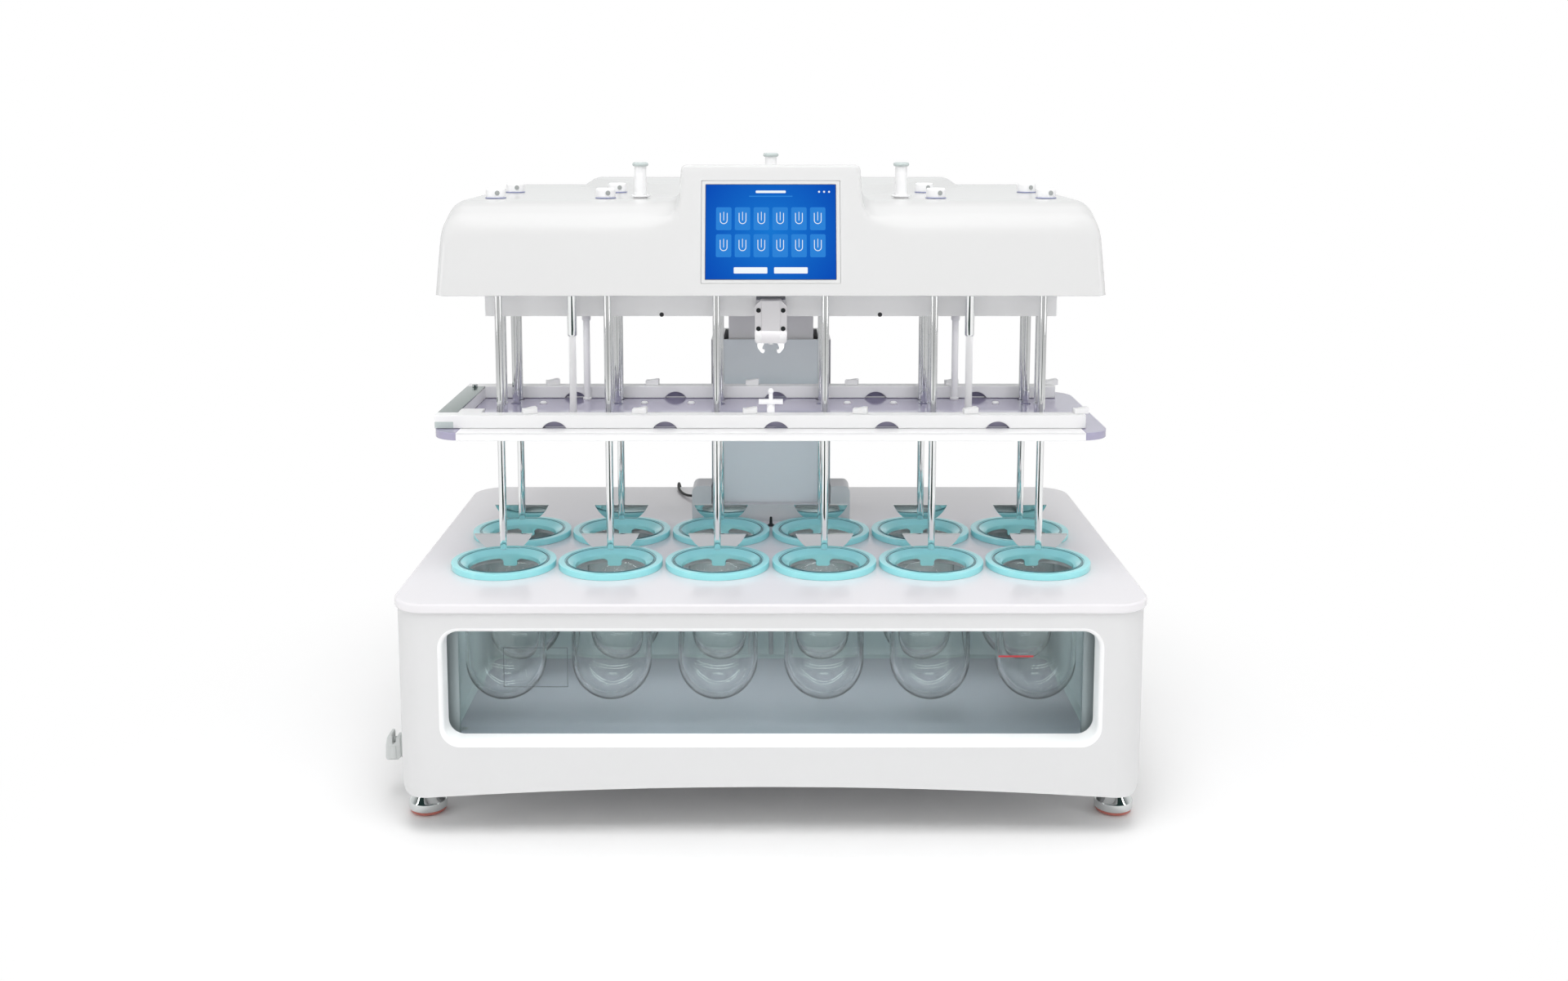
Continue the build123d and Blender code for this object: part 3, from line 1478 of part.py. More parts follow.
with BuildPart() as end_plate:
    add(block(end_beam_width, beam_length, beam_x, beam_mid_y, beam_top, rail_top))
    screw_y = back_rail_y - end_screw_d
    add(rods(end_screw_d, [(beam_x, screw_y)], rail_top, rail_top + end_screw_height))
finish("end_plate", end_plate.part)

# Well covers: twelve small yawed caps on the rails
cover_drop = rail_depth - cover_depth * cover_set_share
with BuildPart() as well_covers:
    for front_y in (front_rail_y, back_rail_y):
        for x, yaw in zip(column_places, cover_yaws):
            with BuildSketch(Plane.XY.offset(rail_top)):
                with Locations(Location((x + cover_shift, front_y + cover_drop, 0), (0, 0, yaw))):
                    Rectangle(cover_width, cover_depth)
            extrude(amount=cover_height)
finish("well_covers", well_covers.part)

# Catch block on the chassis front, slotted below for the claws
block_top = chassis_bottom + block_rise
block_bottom = block_top - block_height
claw_pivot_z = block_bottom + claw_pivot_rise
claw_mouth_z = claw_pivot_z - claw_mouth_drop
claw_tip_z = claw_pivot_z - claw_tip_drop
block_front_y = chassis_front_y - block_thickness
claw_front_y = catch_y - claw_thickness / 2
pivots = [(cx - claw_pivot_x, claw_pivot_z), (cx + claw_pivot_x, claw_pivot_z)]
with BuildPart() as catch_block:
    with BuildSketch(Plane.XZ.offset(-chassis_front_y)):
        with BuildLine():
            half = block_width / 2
            Polyline(
                [
                    (cx - half + block_chamfer, block_top),
                    (cx - half, block_top - block_chamfer),
                    (cx - half, block_bottom + block_foot_chamfer),
                    (cx - half + block_foot_chamfer, block_bottom),
                    (cx + half - block_foot_chamfer, block_bottom),
                    (cx + half, block_bottom + block_foot_chamfer),
                    (cx + half, block_top - block_chamfer),
                    (cx + half - block_chamfer, block_top),
                ],
                close=True,
            )
        make_face()
    extrude(amount=block_thickness)
    with BuildSketch(Plane.XZ.offset(-block_front_y)):
        with Locations((cx, (block_top + block_bottom) / 2)):
            Rectangle(block_rib_width, block_top - block_bottom)
    extrude(amount=block_rib_proud)
    slot_top = claw_pivot_z + claw_pivot_d / 2 + sliding_clearance
    add(
        block(
            block_width + 2 * overrun,
            claw_slot_depth,
            cx,
            catch_y,
            block_bottom - overrun,
            slot_top,
        ),
        mode=Mode.SUBTRACT,
    )
    with BuildSketch(Plane.XZ.offset(-chassis_front_y)):
        with Locations(*pivots):
            RegularPolygon(claw_pin_d / 2, coarse_sides)
    extrude(amount=block_thickness)
    with BuildSketch(Plane.XZ.offset(-block_front_y)):
        with Locations(*pivots):
            RegularPolygon(claw_pivot_d / 2, plain_sides)
    extrude(amount=block_rib_proud)
finish("catch_block", catch_block.part)

# One claw: an eye round its pin and an arm that hooks in under the ball
with BuildPart() as claw:
    with BuildSketch(Plane.XZ.offset(-claw_front_y - claw_thickness)):
        with BuildLine():
            outer_x = claw_pivot_x + claw_arm_width / 2
            Polyline(
                [
                    (claw_pivot_x - claw_arm_width / 2, claw_pivot_z),
                    (claw_tip_x, claw_mouth_z + claw_mouth_r - claw_pin_d / 2),
                    (claw_tip_x + claw_mouth_depth, claw_mouth_z),
                    (claw_tip_x, claw_mouth_z - claw_mouth_depth),
                    (claw_tip_x + claw_tip_lead, claw_tip_z),
                    (claw_tip_x + claw_pin_d, claw_tip_z),
                    (outer_x - claw_tip_lead / 2, claw_mouth_z),
                    (outer_x - claw_tip_lead, claw_mouth_z + claw_pin_d),
                    (outer_x, claw_pivot_z),
                ],
                close=True,
            )
        make_face()
        with Locations((claw_pivot_x, claw_pivot_z)):
            RegularPolygon(claw_pivot_d / 2 - seat_clearance, plain_sides)
            bore_r = claw_pin_d / 2 + running_clearance
            RegularPolygon(bore_r, coarse_sides, major_radius=False, mode=Mode.SUBTRACT)
    extrude(amount=claw_thickness)

with BuildPart() as claw_right:
    with Locations((cx, 0)):
        add(claw.part)
finish("claw_right", claw_right.part)

with BuildPart() as claw_left:
    add(mirror(claw_right.part, about=Plane.YZ.offset(cx), mode=Mode.PRIVATE))
finish("claw_left", claw_left.part)
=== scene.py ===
"""Looks of a twelve-station tablet dissolution tester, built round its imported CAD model.

Everything is in metres, in the CAD's own frame: +Z up, front towards -Y.
"""

import math

import bmesh
import bpy
import numpy as np
from bpy.props import FloatProperty, FloatVectorProperty, IntProperty, PointerProperty
from mathutils import Matrix, Vector


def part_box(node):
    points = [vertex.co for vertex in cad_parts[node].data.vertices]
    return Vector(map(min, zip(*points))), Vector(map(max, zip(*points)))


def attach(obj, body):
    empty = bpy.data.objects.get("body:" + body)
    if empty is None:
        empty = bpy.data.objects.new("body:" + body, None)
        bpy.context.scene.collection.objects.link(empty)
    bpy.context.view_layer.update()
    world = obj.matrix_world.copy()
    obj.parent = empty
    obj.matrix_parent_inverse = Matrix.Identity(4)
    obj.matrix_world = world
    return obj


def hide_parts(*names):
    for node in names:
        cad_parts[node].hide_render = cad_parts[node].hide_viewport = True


bl_info = {
    "name": "Dissolution tester dressing",
    "version": (1, 0, 0),
    "blender": (4, 5, 0),
    "location": "3D View > Sidebar > Tester",
    "description": "Builds the finished pieces of a tablet dissolution tester on its CAD frame",
    "category": "Object",
}

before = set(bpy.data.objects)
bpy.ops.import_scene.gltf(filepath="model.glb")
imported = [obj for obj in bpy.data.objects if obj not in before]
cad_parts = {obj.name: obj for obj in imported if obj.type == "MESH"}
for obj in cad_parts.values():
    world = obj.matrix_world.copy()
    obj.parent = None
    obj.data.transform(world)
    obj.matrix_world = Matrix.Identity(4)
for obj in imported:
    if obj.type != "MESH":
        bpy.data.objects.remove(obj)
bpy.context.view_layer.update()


def low(node):
    """The lowest corner of a CAD node."""
    return Vector(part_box(node)[0])


def high(node):
    """The highest corner of a CAD node."""
    return Vector(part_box(node)[1])


def middle(node):
    """The middle of a CAD node's box."""
    return (low(node) + high(node)) / 2


# Places taken from the frame
CENTRE_X = middle("deck_plate").x
DECK_TOP = high("deck_plate").z
DECK_BOTTOM = low("deck_plate").z
FLANGE_TOP = high("vessels_front").z
RING_TOP = high("vessel_rings").z
HEAD_BOTTOM = low("head_cover").z
HEAD_FRONT = low("head_cover").y
HEAD_BACK = high("head_cover").y
HEAD_HALF_WIDTH = (high("head_cover").x - low("head_cover").x) / 2
TRAY_TOP = high("tray_plate").z
STATIONS = [middle(f"paddle_{number:02d}") for number in range(1, 13)]
COLUMN_XS = [place.x for place in STATIONS[:6]]
FRONT_ROW_Y = STATIONS[0].y
BACK_ROW_Y = STATIONS[6].y


def length_setting(name, description, default):
    """A setting in metres."""
    return FloatProperty(name=name, description=description, default=default, unit="LENGTH")


def colour_setting(name, description, default):
    """A setting for a colour."""
    return FloatVectorProperty(name=name, description=description, default=default, subtype="COLOR")


class TesterSizes(bpy.types.PropertyGroup):
    """Sizes that the pieces share."""

    round_sides: IntProperty(name="Round sides", description="Sides of a turned piece", default=40, min=12)
    cover_cell: length_setting("Cover mesh size", "Size of a mesh cell on the head cover", 0.0042)
    thin_wall: length_setting("Thin vessel wall", "Height above which the vessels' wall is thinner", 0.25)


class TesterFinishes(bpy.types.PropertyGroup):
    """Colours of the main finishes."""

    shell: colour_setting("Shell", "White of the head cover", (0.63, 0.63, 0.63))
    paint: colour_setting("Cabinet", "Powder coat of the cabinet", (0.68, 0.68, 0.685))
    deck: colour_setting("Deck", "Pale deck plate", (0.77, 0.755, 0.775))
    rings: colour_setting("Centring rings", "Turquoise rings", (0.35, 0.82, 0.85))
    tray: colour_setting("Tray", "Smoky tray plate", (0.36, 0.34, 0.47))
    panel: colour_setting("Column panel", "Blue-grey panel", (0.78, 0.83, 0.855))
    screen: colour_setting("Screen", "Blue of the lit screen", (0.007, 0.175, 0.62))


def sizes():
    """The shared sizes."""
    return bpy.context.scene.tester_sizes


def finishes():
    """The colours of the finishes."""
    return bpy.context.scene.tester_finishes


# Materials

def new_material(name):
    """A new material, its node tree and its surface shader."""
    material = bpy.data.materials.new(name)
    material.use_nodes = True
    return material, material.node_tree, material.node_tree.nodes["Principled BSDF"]


def fill(node, values):
    """Sets some of a node's inputs and settings. An output of another node is linked to the input."""
    for key, value in values.items():
        if isinstance(key, str) and key not in node.inputs:
            setattr(node, key, value)
        elif isinstance(value, bpy.types.NodeSocket):
            node.id_data.links.new(value, node.inputs[key])
        else:
            node.inputs[key].default_value = value


def output_of(tree, kind, output, values=None):
    """An output of a new node with some of its inputs and settings set."""
    node = tree.nodes.new(kind)
    fill(node, values or {})
    return node.outputs[output]


def colour_mix(tree, factor, first, second):
    """The output of two colours mixed by a factor."""
    values = {"data_type": "RGBA", 0: factor, 6: (*first, 1), 7: (*second, 1)}
    return output_of(tree, "ShaderNodeMix", 2, values)


def shader_mix(tree, factor, first, second):
    """The output of two shaders mixed by a factor."""
    return output_of(tree, "ShaderNodeMixShader", "Shader", {0: factor, 1: first, 2: second})


def coated(
    name, colour, rough, metal=0.0, coat=0.0, grain=900.0, relief=0.02, stretch=(1, 1, 1), mottle=0.03
):
    """A solid finish: fine relief, uneven gloss and a little drift of its colour."""
    material, tree, shader = new_material(name)
    place = output_of(tree, "ShaderNodeTexCoord", "Object")
    stretched = output_of(tree, "ShaderNodeMapping", "Vector", {"Vector": place, "Scale": stretch})
    fine = output_of(tree, "ShaderNodeTexNoise", "Fac", {"Vector": stretched, "Scale": grain, "Detail": 3.0})
    broad = output_of(tree, "ShaderNodeTexNoise", "Fac", {"Vector": place, "Scale": 9.0, "Detail": 2.0})
    gloss = {"Value": fine, "To Min": rough * 0.8, "To Max": rough * 1.25}
    bump = {"Height": fine, "Strength": relief, "Distance": 0.0004}
    dark = [c * (1 - mottle) for c in colour]
    light = [min(c * (1 + mottle), 1.0) for c in colour]
    fill(shader, {
        "Base Color": colour_mix(tree, broad, dark, light),
        "Metallic": metal,
        "Roughness": output_of(tree, "ShaderNodeMapRange", "Result", gloss),
        "Normal": output_of(tree, "ShaderNodeBump", "Normal", bump),
        "Coat Weight": coat,
        "Coat Roughness": 0.06,
    })
    return material


def clear(name, colour, index):
    """A clear finish that bends light and lets shadows through."""
    material, tree, shader = new_material(name)
    tint = (*colour, 1)
    fill(shader, {"Base Color": tint, "Roughness": 0.0, "IOR": index, "Transmission Weight": 1.0})
    through = output_of(tree, "ShaderNodeBsdfTransparent", "BSDF", {"Color": tint})
    shadow = output_of(tree, "ShaderNodeLightPath", "Is Shadow Ray")
    surface = shader_mix(tree, shadow, shader.outputs["BSDF"], through)
    fill(tree.nodes["Material Output"], {"Surface": surface})
    return material


def sheet_clear(name, colour):
    """A thin clear wall: it tints what is behind it and reflects more at its edges."""
    material, tree, shader = new_material(name)
    tree.nodes.remove(shader)
    through = output_of(tree, "ShaderNodeBsdfTransparent", "BSDF", {"Color": (*colour, 1)})
    gloss = output_of(tree, "ShaderNodeBsdfGlossy", "BSDF", {"Roughness": 0.03})
    facing = output_of(tree, "ShaderNodeLayerWeight", "Facing", {"Blend": 0.5})
    steep = output_of(tree, "ShaderNodeMath", "Value", {"operation": "POWER", 0: facing, 1: 4.0})
    share = {"operation": "MULTIPLY_ADD", 0: steep, 1: 0.45, 2: 0.03}
    edge = output_of(tree, "ShaderNodeMath", "Value", share)
    fill(tree.nodes["Material Output"], {"Surface": shader_mix(tree, edge, through, gloss)})
    return material


def lit(name, colour, edge=None, centre=None, reach=None):
    """A finish of the lit screen, which may turn to another colour away from its centre."""
    material, tree, shader = new_material(name)
    glow = (*colour, 1)
    if edge:
        place = output_of(tree, "ShaderNodeTexCoord", "Object")
        apart = {"operation": "DISTANCE", 0: place, 1: centre}
        away = output_of(tree, "ShaderNodeVectorMath", "Value", apart)
        ramp = {"Value": away, "From Min": 0.0, "From Max": reach}
        glow = colour_mix(tree, output_of(tree, "ShaderNodeMapRange", "Result", ramp), colour, edge)
    fill(shader, {
        "Base Color": (*[c * 0.03 for c in colour], 1),
        "Roughness": 0.22,
        "Specular IOR Level": 0.3,
        "Emission Color": glow,
        "Emission Strength": 1.0,
    })
    return material


def fading_floor(name, colour):
    """A pale floor that keeps the soft shadow of the machine and turns plain white further out."""
    material, tree, shader = new_material(name)
    fill(shader, {"Base Color": (*colour, 1), "Roughness": 0.7})
    place = output_of(tree, "ShaderNodeTexCoord", "Object")
    away = output_of(tree, "ShaderNodeVectorMath", "Value", {"operation": "LENGTH", 0: place})
    ramp = {"interpolation_type": "SMOOTHSTEP", "Value": away, "From Min": 0.45, "From Max": 1.0}
    fade = output_of(tree, "ShaderNodeMapRange", "Result", ramp)
    camera = output_of(tree, "ShaderNodeLightPath", "Is Camera Ray")
    seen = output_of(tree, "ShaderNodeMath", "Value", {"operation": "MULTIPLY", 0: fade, 1: camera})
    white = output_of(tree, "ShaderNodeEmission", "Emission", {"Color": (1, 1, 1, 1), "Strength": 1.0})
    fill(tree.nodes["Material Output"], {"Surface": shader_mix(tree, seen, shader.outputs["BSDF"], white)})
    return material


def make_finishes():
    """All the finishes, by name."""
    main = finishes()
    solid = {
        "shell": ("white_cover", main.shell, 0.24,
                  {"coat": 0.25, "grain": 500, "relief": 0.01, "mottle": 0.008}),
        "paint": ("powder_coat", main.paint, 0.42,
                  {"coat": 0.1, "grain": 700, "relief": 0.05, "mottle": 0.012}),
        "deck": ("deck_satin", main.deck, 0.22, {"coat": 0.2, "grain": 600, "mottle": 0.012}),
        "ring": ("ring_turquoise", main.rings, 0.16, {"coat": 0.5, "grain": 300, "relief": 0.01}),
        "tray": ("smoky_plate", main.tray, 0.07, {"coat": 0.6, "grain": 80, "relief": 0.004, "mottle": 0.05}),
        # The dark teal in the ring's top groove is painted shade in the groove.
        "groove_shade": ("ring_groove_shade", (0.10, 0.27, 0.30), 0.10, {"metal": 0.5, "relief": 0.004}),
        "stage_grey": ("stage_grey", (0.84, 0.835, 0.845), 0.30, {"mottle": 0.01}),
        "gunmetal": ("polished_plate", (0.27, 0.32, 0.31), 0.14,
                     {"metal": 0.8, "grain": 60, "relief": 0.004}),
        "panel": ("column_grey", main.panel, 0.30, {"relief": 0.03}),
        "rail_metal": ("satin_aluminium", (0.62, 0.62, 0.63), 0.30, {"metal": 1, "stretch": (12, 12, 0.3)}),
        "brushed": ("brushed_steel", (0.60, 0.60, 0.61), 0.26, {"metal": 1, "stretch": (0.3, 12, 12)}),
        "polished": ("polished_steel", (0.80, 0.81, 0.81), 0.06,
                     {"metal": 1, "stretch": (9, 9, 0.2), "relief": 0.004}),
        "mirror": ("mirror_steel", (0.72, 0.74, 0.74), 0.04, {"metal": 1, "grain": 60, "relief": 0.003}),
        "resin": ("white_resin", (0.87, 0.87, 0.875), 0.35, {"grain": 500, "mottle": 0.01}),
        "cap": ("grey_green_cap", (0.52, 0.58, 0.57), 0.25, {"grain": 400}),
        "washer": ("blue_washer", (0.30, 0.33, 0.52), 0.20, {"grain": 300, "relief": 0.01}),
        "block": ("catch_block_alloy", (0.84, 0.825, 0.84), 0.34, {"grain": 800, "relief": 0.03}),
        "dark": ("dark_plastic", (0.025, 0.025, 0.028), 0.38, {"grain": 700, "relief": 0.04}),
        "zinc": ("zinc_casting", (0.20, 0.205, 0.21), 0.45, {"metal": 0.6, "grain": 500, "relief": 0.06}),
        "lever": ("lever_grey", (0.58, 0.60, 0.595), 0.35, {"grain": 500, "relief": 0.03}),
        "valve": ("valve_grey", (0.36, 0.38, 0.375), 0.40, {"grain": 500, "relief": 0.04}),
        "sheath": ("cable_sheath", (0.014, 0.014, 0.015), 0.5, {"grain": 1200, "relief": 0.05}),
        "belt": ("belt_rubber", (0.02, 0.02, 0.02), 0.6, {"relief": 0.06}),
        "pad": ("red_pad", (0.50, 0.16, 0.13), 0.55, {"grain": 600, "relief": 0.08}),
        # The bath's ends and back: grey-teal painted shade for the shaded white wall behind the clear tank.
        "painted_shade_backing": ("bath_painted_shade_backing", (0.40, 0.47, 0.485), 0.30, {"grain": 60, "relief": 0.01, "mottle": 0.06}),
        "bath_floor": ("bath_floor", (0.38, 0.39, 0.43), 0.18, {"grain": 60, "relief": 0.01, "mottle": 0.06}),
        "level": ("level_mark", (0.55, 0.03, 0.04), 0.4, {}),
        "label": ("label_line", (0.10, 0.12, 0.13), 0.5, {}),
        "screen_rim": ("screen_rim", (0.08, 0.09, 0.10), 0.25, {}),
    }
    made = {key: coated(name, tone, rough, **more) for key, (name, tone, rough, more) in solid.items()}
    made["glass"] = clear("vessel_glass", (0.995, 1.0, 0.998), 1.47)
    made["tank"] = sheet_clear("tank_acrylic", (0.90, 0.945, 0.945))
    made["screen"] = lit("screen_blue", main.screen, (0.001, 0.060, 0.44), middle("touchscreen"), 0.098)
    made["screen_soft"] = lit("screen_pale_blue", (0.024, 0.215, 0.66))
    made["screen_white"] = lit("screen_white", (0.86, 0.90, 0.94))
    return made


FINISH = {}
SHARP_ANGLE = math.radians(32)
LEAN = Matrix.Rotation(math.pi / 2, 4, "X")


# Forms: lists of corners and faces with one finish, put together into pieces

def eased(points, radius, closed=False, steps=4):
    """The same line with its corners rounded off."""
    count = len(points)
    line = []
    for i, here in enumerate(points):
        if not closed and i in (0, count - 1):
            line.append(tuple(here))
            continue
        corner = Vector(here)
        back = Vector(points[i - 1]) - corner
        on = Vector(points[(i + 1) % count]) - corner
        reach = min(radius, back.length * 0.48, on.length * 0.48)
        start = corner + back.normalized() * reach
        end = corner + on.normalized() * reach
        for step in range(steps + 1):
            share = step / steps
            line.append(tuple(start.lerp(corner, share).lerp(corner.lerp(end, share), share)))
    return line


def arc(centre, radius, start, end, steps=12):
    """Points of an arc, its angles in degrees."""
    angles = [math.radians(start + (end - start) * i / steps) for i in range(steps + 1)]
    return [(centre[0] + radius * math.cos(a), centre[1] + radius * math.sin(a)) for a in angles]


def rectangle(width, height, radius=0.0, centre=(0.0, 0.0), steps=8):
    """The outline of a rectangle with rounded corners."""
    u, v = width / 2 - radius, height / 2 - radius
    if radius == 0:
        corners = [(u, v), (-u, v), (-u, -v), (u, -v)]
        return [(centre[0] + a, centre[1] + b) for a, b in corners]
    line = []
    for su, sv, start in ((1, 1, 0), (-1, 1, 90), (-1, -1, 180), (1, -1, 270)):
        line += arc((centre[0] + su * u, centre[1] + sv * v), radius, start, start + 90, steps)
    return line


def circle(radius, centre=(0.0, 0.0), sides=32):
    """The outline of a circle."""
    return arc(centre, radius, 0, 360 - 360 / sides, sides - 1)


def loft(rings, finish, caps=True, closed=False):
    """A form through rings of points, each with as many points as the next."""
    around = len(rings[0])
    corners = [tuple(point) for ring in rings for point in ring]
    faces = []
    for low_ring in range(len(rings) if closed else len(rings) - 1):
        high_ring = (low_ring + 1) % len(rings)
        for i in range(around):
            j = (i + 1) % around
            a, b = low_ring * around, high_ring * around
            faces.append((a + i, a + j, b + j, b + i))
    if caps and not closed:
        faces.append(tuple(range(around))[::-1])
        faces.append(tuple(range(len(corners) - around, len(corners))))
    return corners, faces, finish


def lathe(profile, finish, at=(0.0, 0.0), sides=0, caps=True):
    """A form turned about an upright axis through (radius, height) points."""
    sides = sides or sizes().round_sides
    turns = [2 * math.pi * i / sides for i in range(sides)]
    rings = [[(at[0] + r * math.cos(a), at[1] + r * math.sin(a), z) for a in turns] for r, z in profile]
    return loft(rings, finish, caps)


def turned(profile, rounding, finish, at=(0.0, 0.0), sides=0):
    """A form turned about an upright axis, with its edges rounded."""
    return lathe(eased(profile, rounding), finish, at, sides)


def rod(radius, bottom, top):
    """The profile of a plain round bar."""
    return [(0, bottom), (radius, bottom), (radius, top), (0, top)]


def plate(outlines, bottom, top, edge, finish, upright=False):
    """A plate cut to its outlines, inner ones as holes, with rounded edges. It lies flat unless upright."""
    curve = bpy.data.curves.new("outline", "CURVE")
    curve.dimensions = "2D"
    curve.fill_mode = "BOTH"
    for outline in outlines:
        spline = curve.splines.new("POLY")
        spline.points.add(len(outline) - 1)
        for point, (u, v) in zip(spline.points, outline):
            point.co = (u, v, 0, 1)
        spline.use_cyclic_u = True
    curve.extrude = (top - bottom) / 2 - edge
    curve.bevel_depth = edge
    curve.bevel_resolution = 2
    curve.offset = -edge
    holder = bpy.data.objects.new("outline", curve)
    bpy.context.collection.objects.link(holder)
    bpy.context.view_layer.update()
    mesh = bpy.data.meshes.new_from_object(holder)
    bpy.data.objects.remove(holder)
    bpy.data.curves.remove(curve)
    lift = (top + bottom) / 2
    corners = [(v.co.x, v.co.y, v.co.z + lift) for v in mesh.vertices]
    if upright:
        corners = [(v.co.x, lift - v.co.z, v.co.y) for v in mesh.vertices]
    faces = [tuple(polygon.vertices) for polygon in mesh.polygons]
    bpy.data.meshes.remove(mesh)
    return corners, faces, finish


def upright_plate(outlines, front, back, edge, finish):
    """A plate that faces the front, cut to its outlines in x and z."""
    return plate(outlines, front, back, edge, finish, upright=True)


def block(lowest, highest, edge, finish):
    """A box with rounded edges between two corners."""
    size = [b - a for a, b in zip(lowest, highest)]
    centre = [(a + b) / 2 for a, b in zip(lowest, highest)]
    outline = rectangle(size[0], size[1], edge, (centre[0], centre[1]), 3)
    return plate([outline], lowest[2], highest[2], edge * 0.8, finish)


def placed(form, matrix):
    """The same form turned and moved by a matrix."""
    corners, faces, finish = form
    return [tuple(matrix @ Vector(c)) for c in corners], faces, finish


def to_front(form, x, y, z):
    """An upright form laid on its back, so that its top faces the front at a place."""
    return placed(form, Matrix.Translation((x, y, z)) @ LEAN)


def enter(obj, body, node):
    """Puts an object into the scene, on its body and for its CAD node."""
    bpy.context.collection.objects.link(obj)
    bpy.context.view_layer.update()
    if body:
        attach(obj, body)
    if node:
        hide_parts(node)
    return obj


def piece(name, forms, body, node=None, at=(0, 0, 0), merge=True):
    """One object from its forms. It rides on a body and may stand for a CAD node."""
    used = list(dict.fromkeys(finish for corners, faces, finish in forms))
    built = bmesh.new()
    for corners, faces, finish in forms:
        made = [built.verts.new(c) for c in corners]
        for face in faces:
            new_face = built.faces.new([made[i] for i in face])
            new_face.material_index = used.index(finish)
            new_face.smooth = True
    if merge:
        bmesh.ops.remove_doubles(built, verts=built.verts, dist=2e-6)
    bmesh.ops.recalc_face_normals(built, faces=built.faces)
    mesh = bpy.data.meshes.new(name)
    built.to_mesh(mesh)
    built.free()
    mesh.set_sharp_from_angle(angle=SHARP_ANGLE)
    for finish in used:
        mesh.materials.append(FINISH[finish])
    obj = bpy.data.objects.new(name, mesh)
    obj.location = at
    return enter(obj, body, node)


def repeat(rows, forms, merge=True):
    """One mesh at many places. Each row has a piece's name, body, CAD node and place."""
    mesh = None
    for name, body, node, place in rows:
        spot = (place.x, place.y, 0)
        if mesh is None:
            mesh = piece(name, forms, body, node, spot, merge).data
        else:
            obj = bpy.data.objects.new(name, mesh)
            obj.location = spot
            enter(obj, body, node)


def settle(obj):
    """The object's modifiers worked into its mesh."""
    bpy.context.view_layer.update()
    mesh = bpy.data.meshes.new_from_object(obj.evaluated_get(bpy.context.evaluated_depsgraph_get()))
    obj.modifiers.clear()
    obj.data = mesh


def carve(obj, forms):
    """Cuts forms out of an object."""
    cutter = piece("cutter", forms, None)
    cut = obj.modifiers.new("cut", "BOOLEAN")
    cut.object = cutter
    cut.solver = "EXACT"
    settle(obj)
    bpy.data.objects.remove(cutter)


def thicken(obj, thickness):
    """A wall inwards from the object's skin."""
    wall = obj.modifiers.new("wall", "SOLIDIFY")
    wall.thickness = thickness
    wall.offset = -1


def even_shading(obj):
    """Shading that follows the large faces."""
    weighted = obj.modifiers.new("even shading", "WEIGHTED_NORMAL")
    weighted.keep_sharp = True


def crisp(obj):
    """Sharp edges where a face turns by more than the angle, and even shading elsewhere."""
    obj.data.set_sharp_from_angle(angle=SHARP_ANGLE)
    even_shading(obj)


def keep(node, finish, edge=0.0006):
    """A CAD node that stays as it is, with its finish and slightly rounded edges."""
    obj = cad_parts[node]
    for slot in obj.material_slots:
        slot.material = FINISH[finish]
    if edge:
        weld = obj.modifiers.new("weld", "WELD")
        weld.merge_threshold = 1e-5
        rounding = obj.modifiers.new("rounding", "BEVEL")
        rounding.width = edge
        rounding.segments = 2
        rounding.limit_method = "ANGLE"
        rounding.angle_limit = math.radians(40)
        even_shading(obj)


class TESTER_OT_camera(bpy.types.Operator):
    """Sets the camera where the photograph was taken from"""

    bl_idname = "tester.camera"
    bl_label = "Camera"

    place: FloatVectorProperty(
        name="Place",
        description="Camera position",
        subtype="XYZ",
        default=(0.0184, -2.0313, 0.8696),
        unit="LENGTH",
    )
    pitch: FloatProperty(
        name="Pitch", description="How far it looks down", subtype="ANGLE", default=math.radians(7.281)
    )
    lens: FloatProperty(name="Lens", description="Focal length in millimetres", default=34.757)
    shift_x: FloatProperty(name="Shift X", description="Sideways lens shift", default=0.00758)
    shift_y: FloatProperty(name="Shift Y", description="Downward lens shift", default=-0.115)

    def execute(self, context):
        data = bpy.data.cameras.new("camera")
        data.lens = self.lens
        data.sensor_width = 36.0
        data.shift_x = self.shift_x
        data.shift_y = self.shift_y
        camera = bpy.data.objects.new("camera", data)
        camera.location = self.place
        camera.rotation_euler = (math.pi / 2 - self.pitch, 0, 0)
        context.collection.objects.link(camera)
        context.scene.camera = camera
        return {"FINISHED"}


# The cable's route as in the CAD: from the centre plane, the deck's back edge and the floor
CABLE_ROUTE = [
    (-0.092, -0.086, 0.301),
    (-0.110, -0.086, 0.301),
    (-0.131, -0.066, 0.2964),
    (-0.144, -0.028, 0.297),
    (-0.145, 0.010, 0.301),
    (-0.141, 0.025, 0.272),
    (-0.135, 0.018, 0.2385),
    (-0.135, -0.0005, 0.2385),
]
CABLE_ORIGIN = Vector((CENTRE_X, high("deck_plate").y, 0))
CABLE_DIAMETER = 0.004


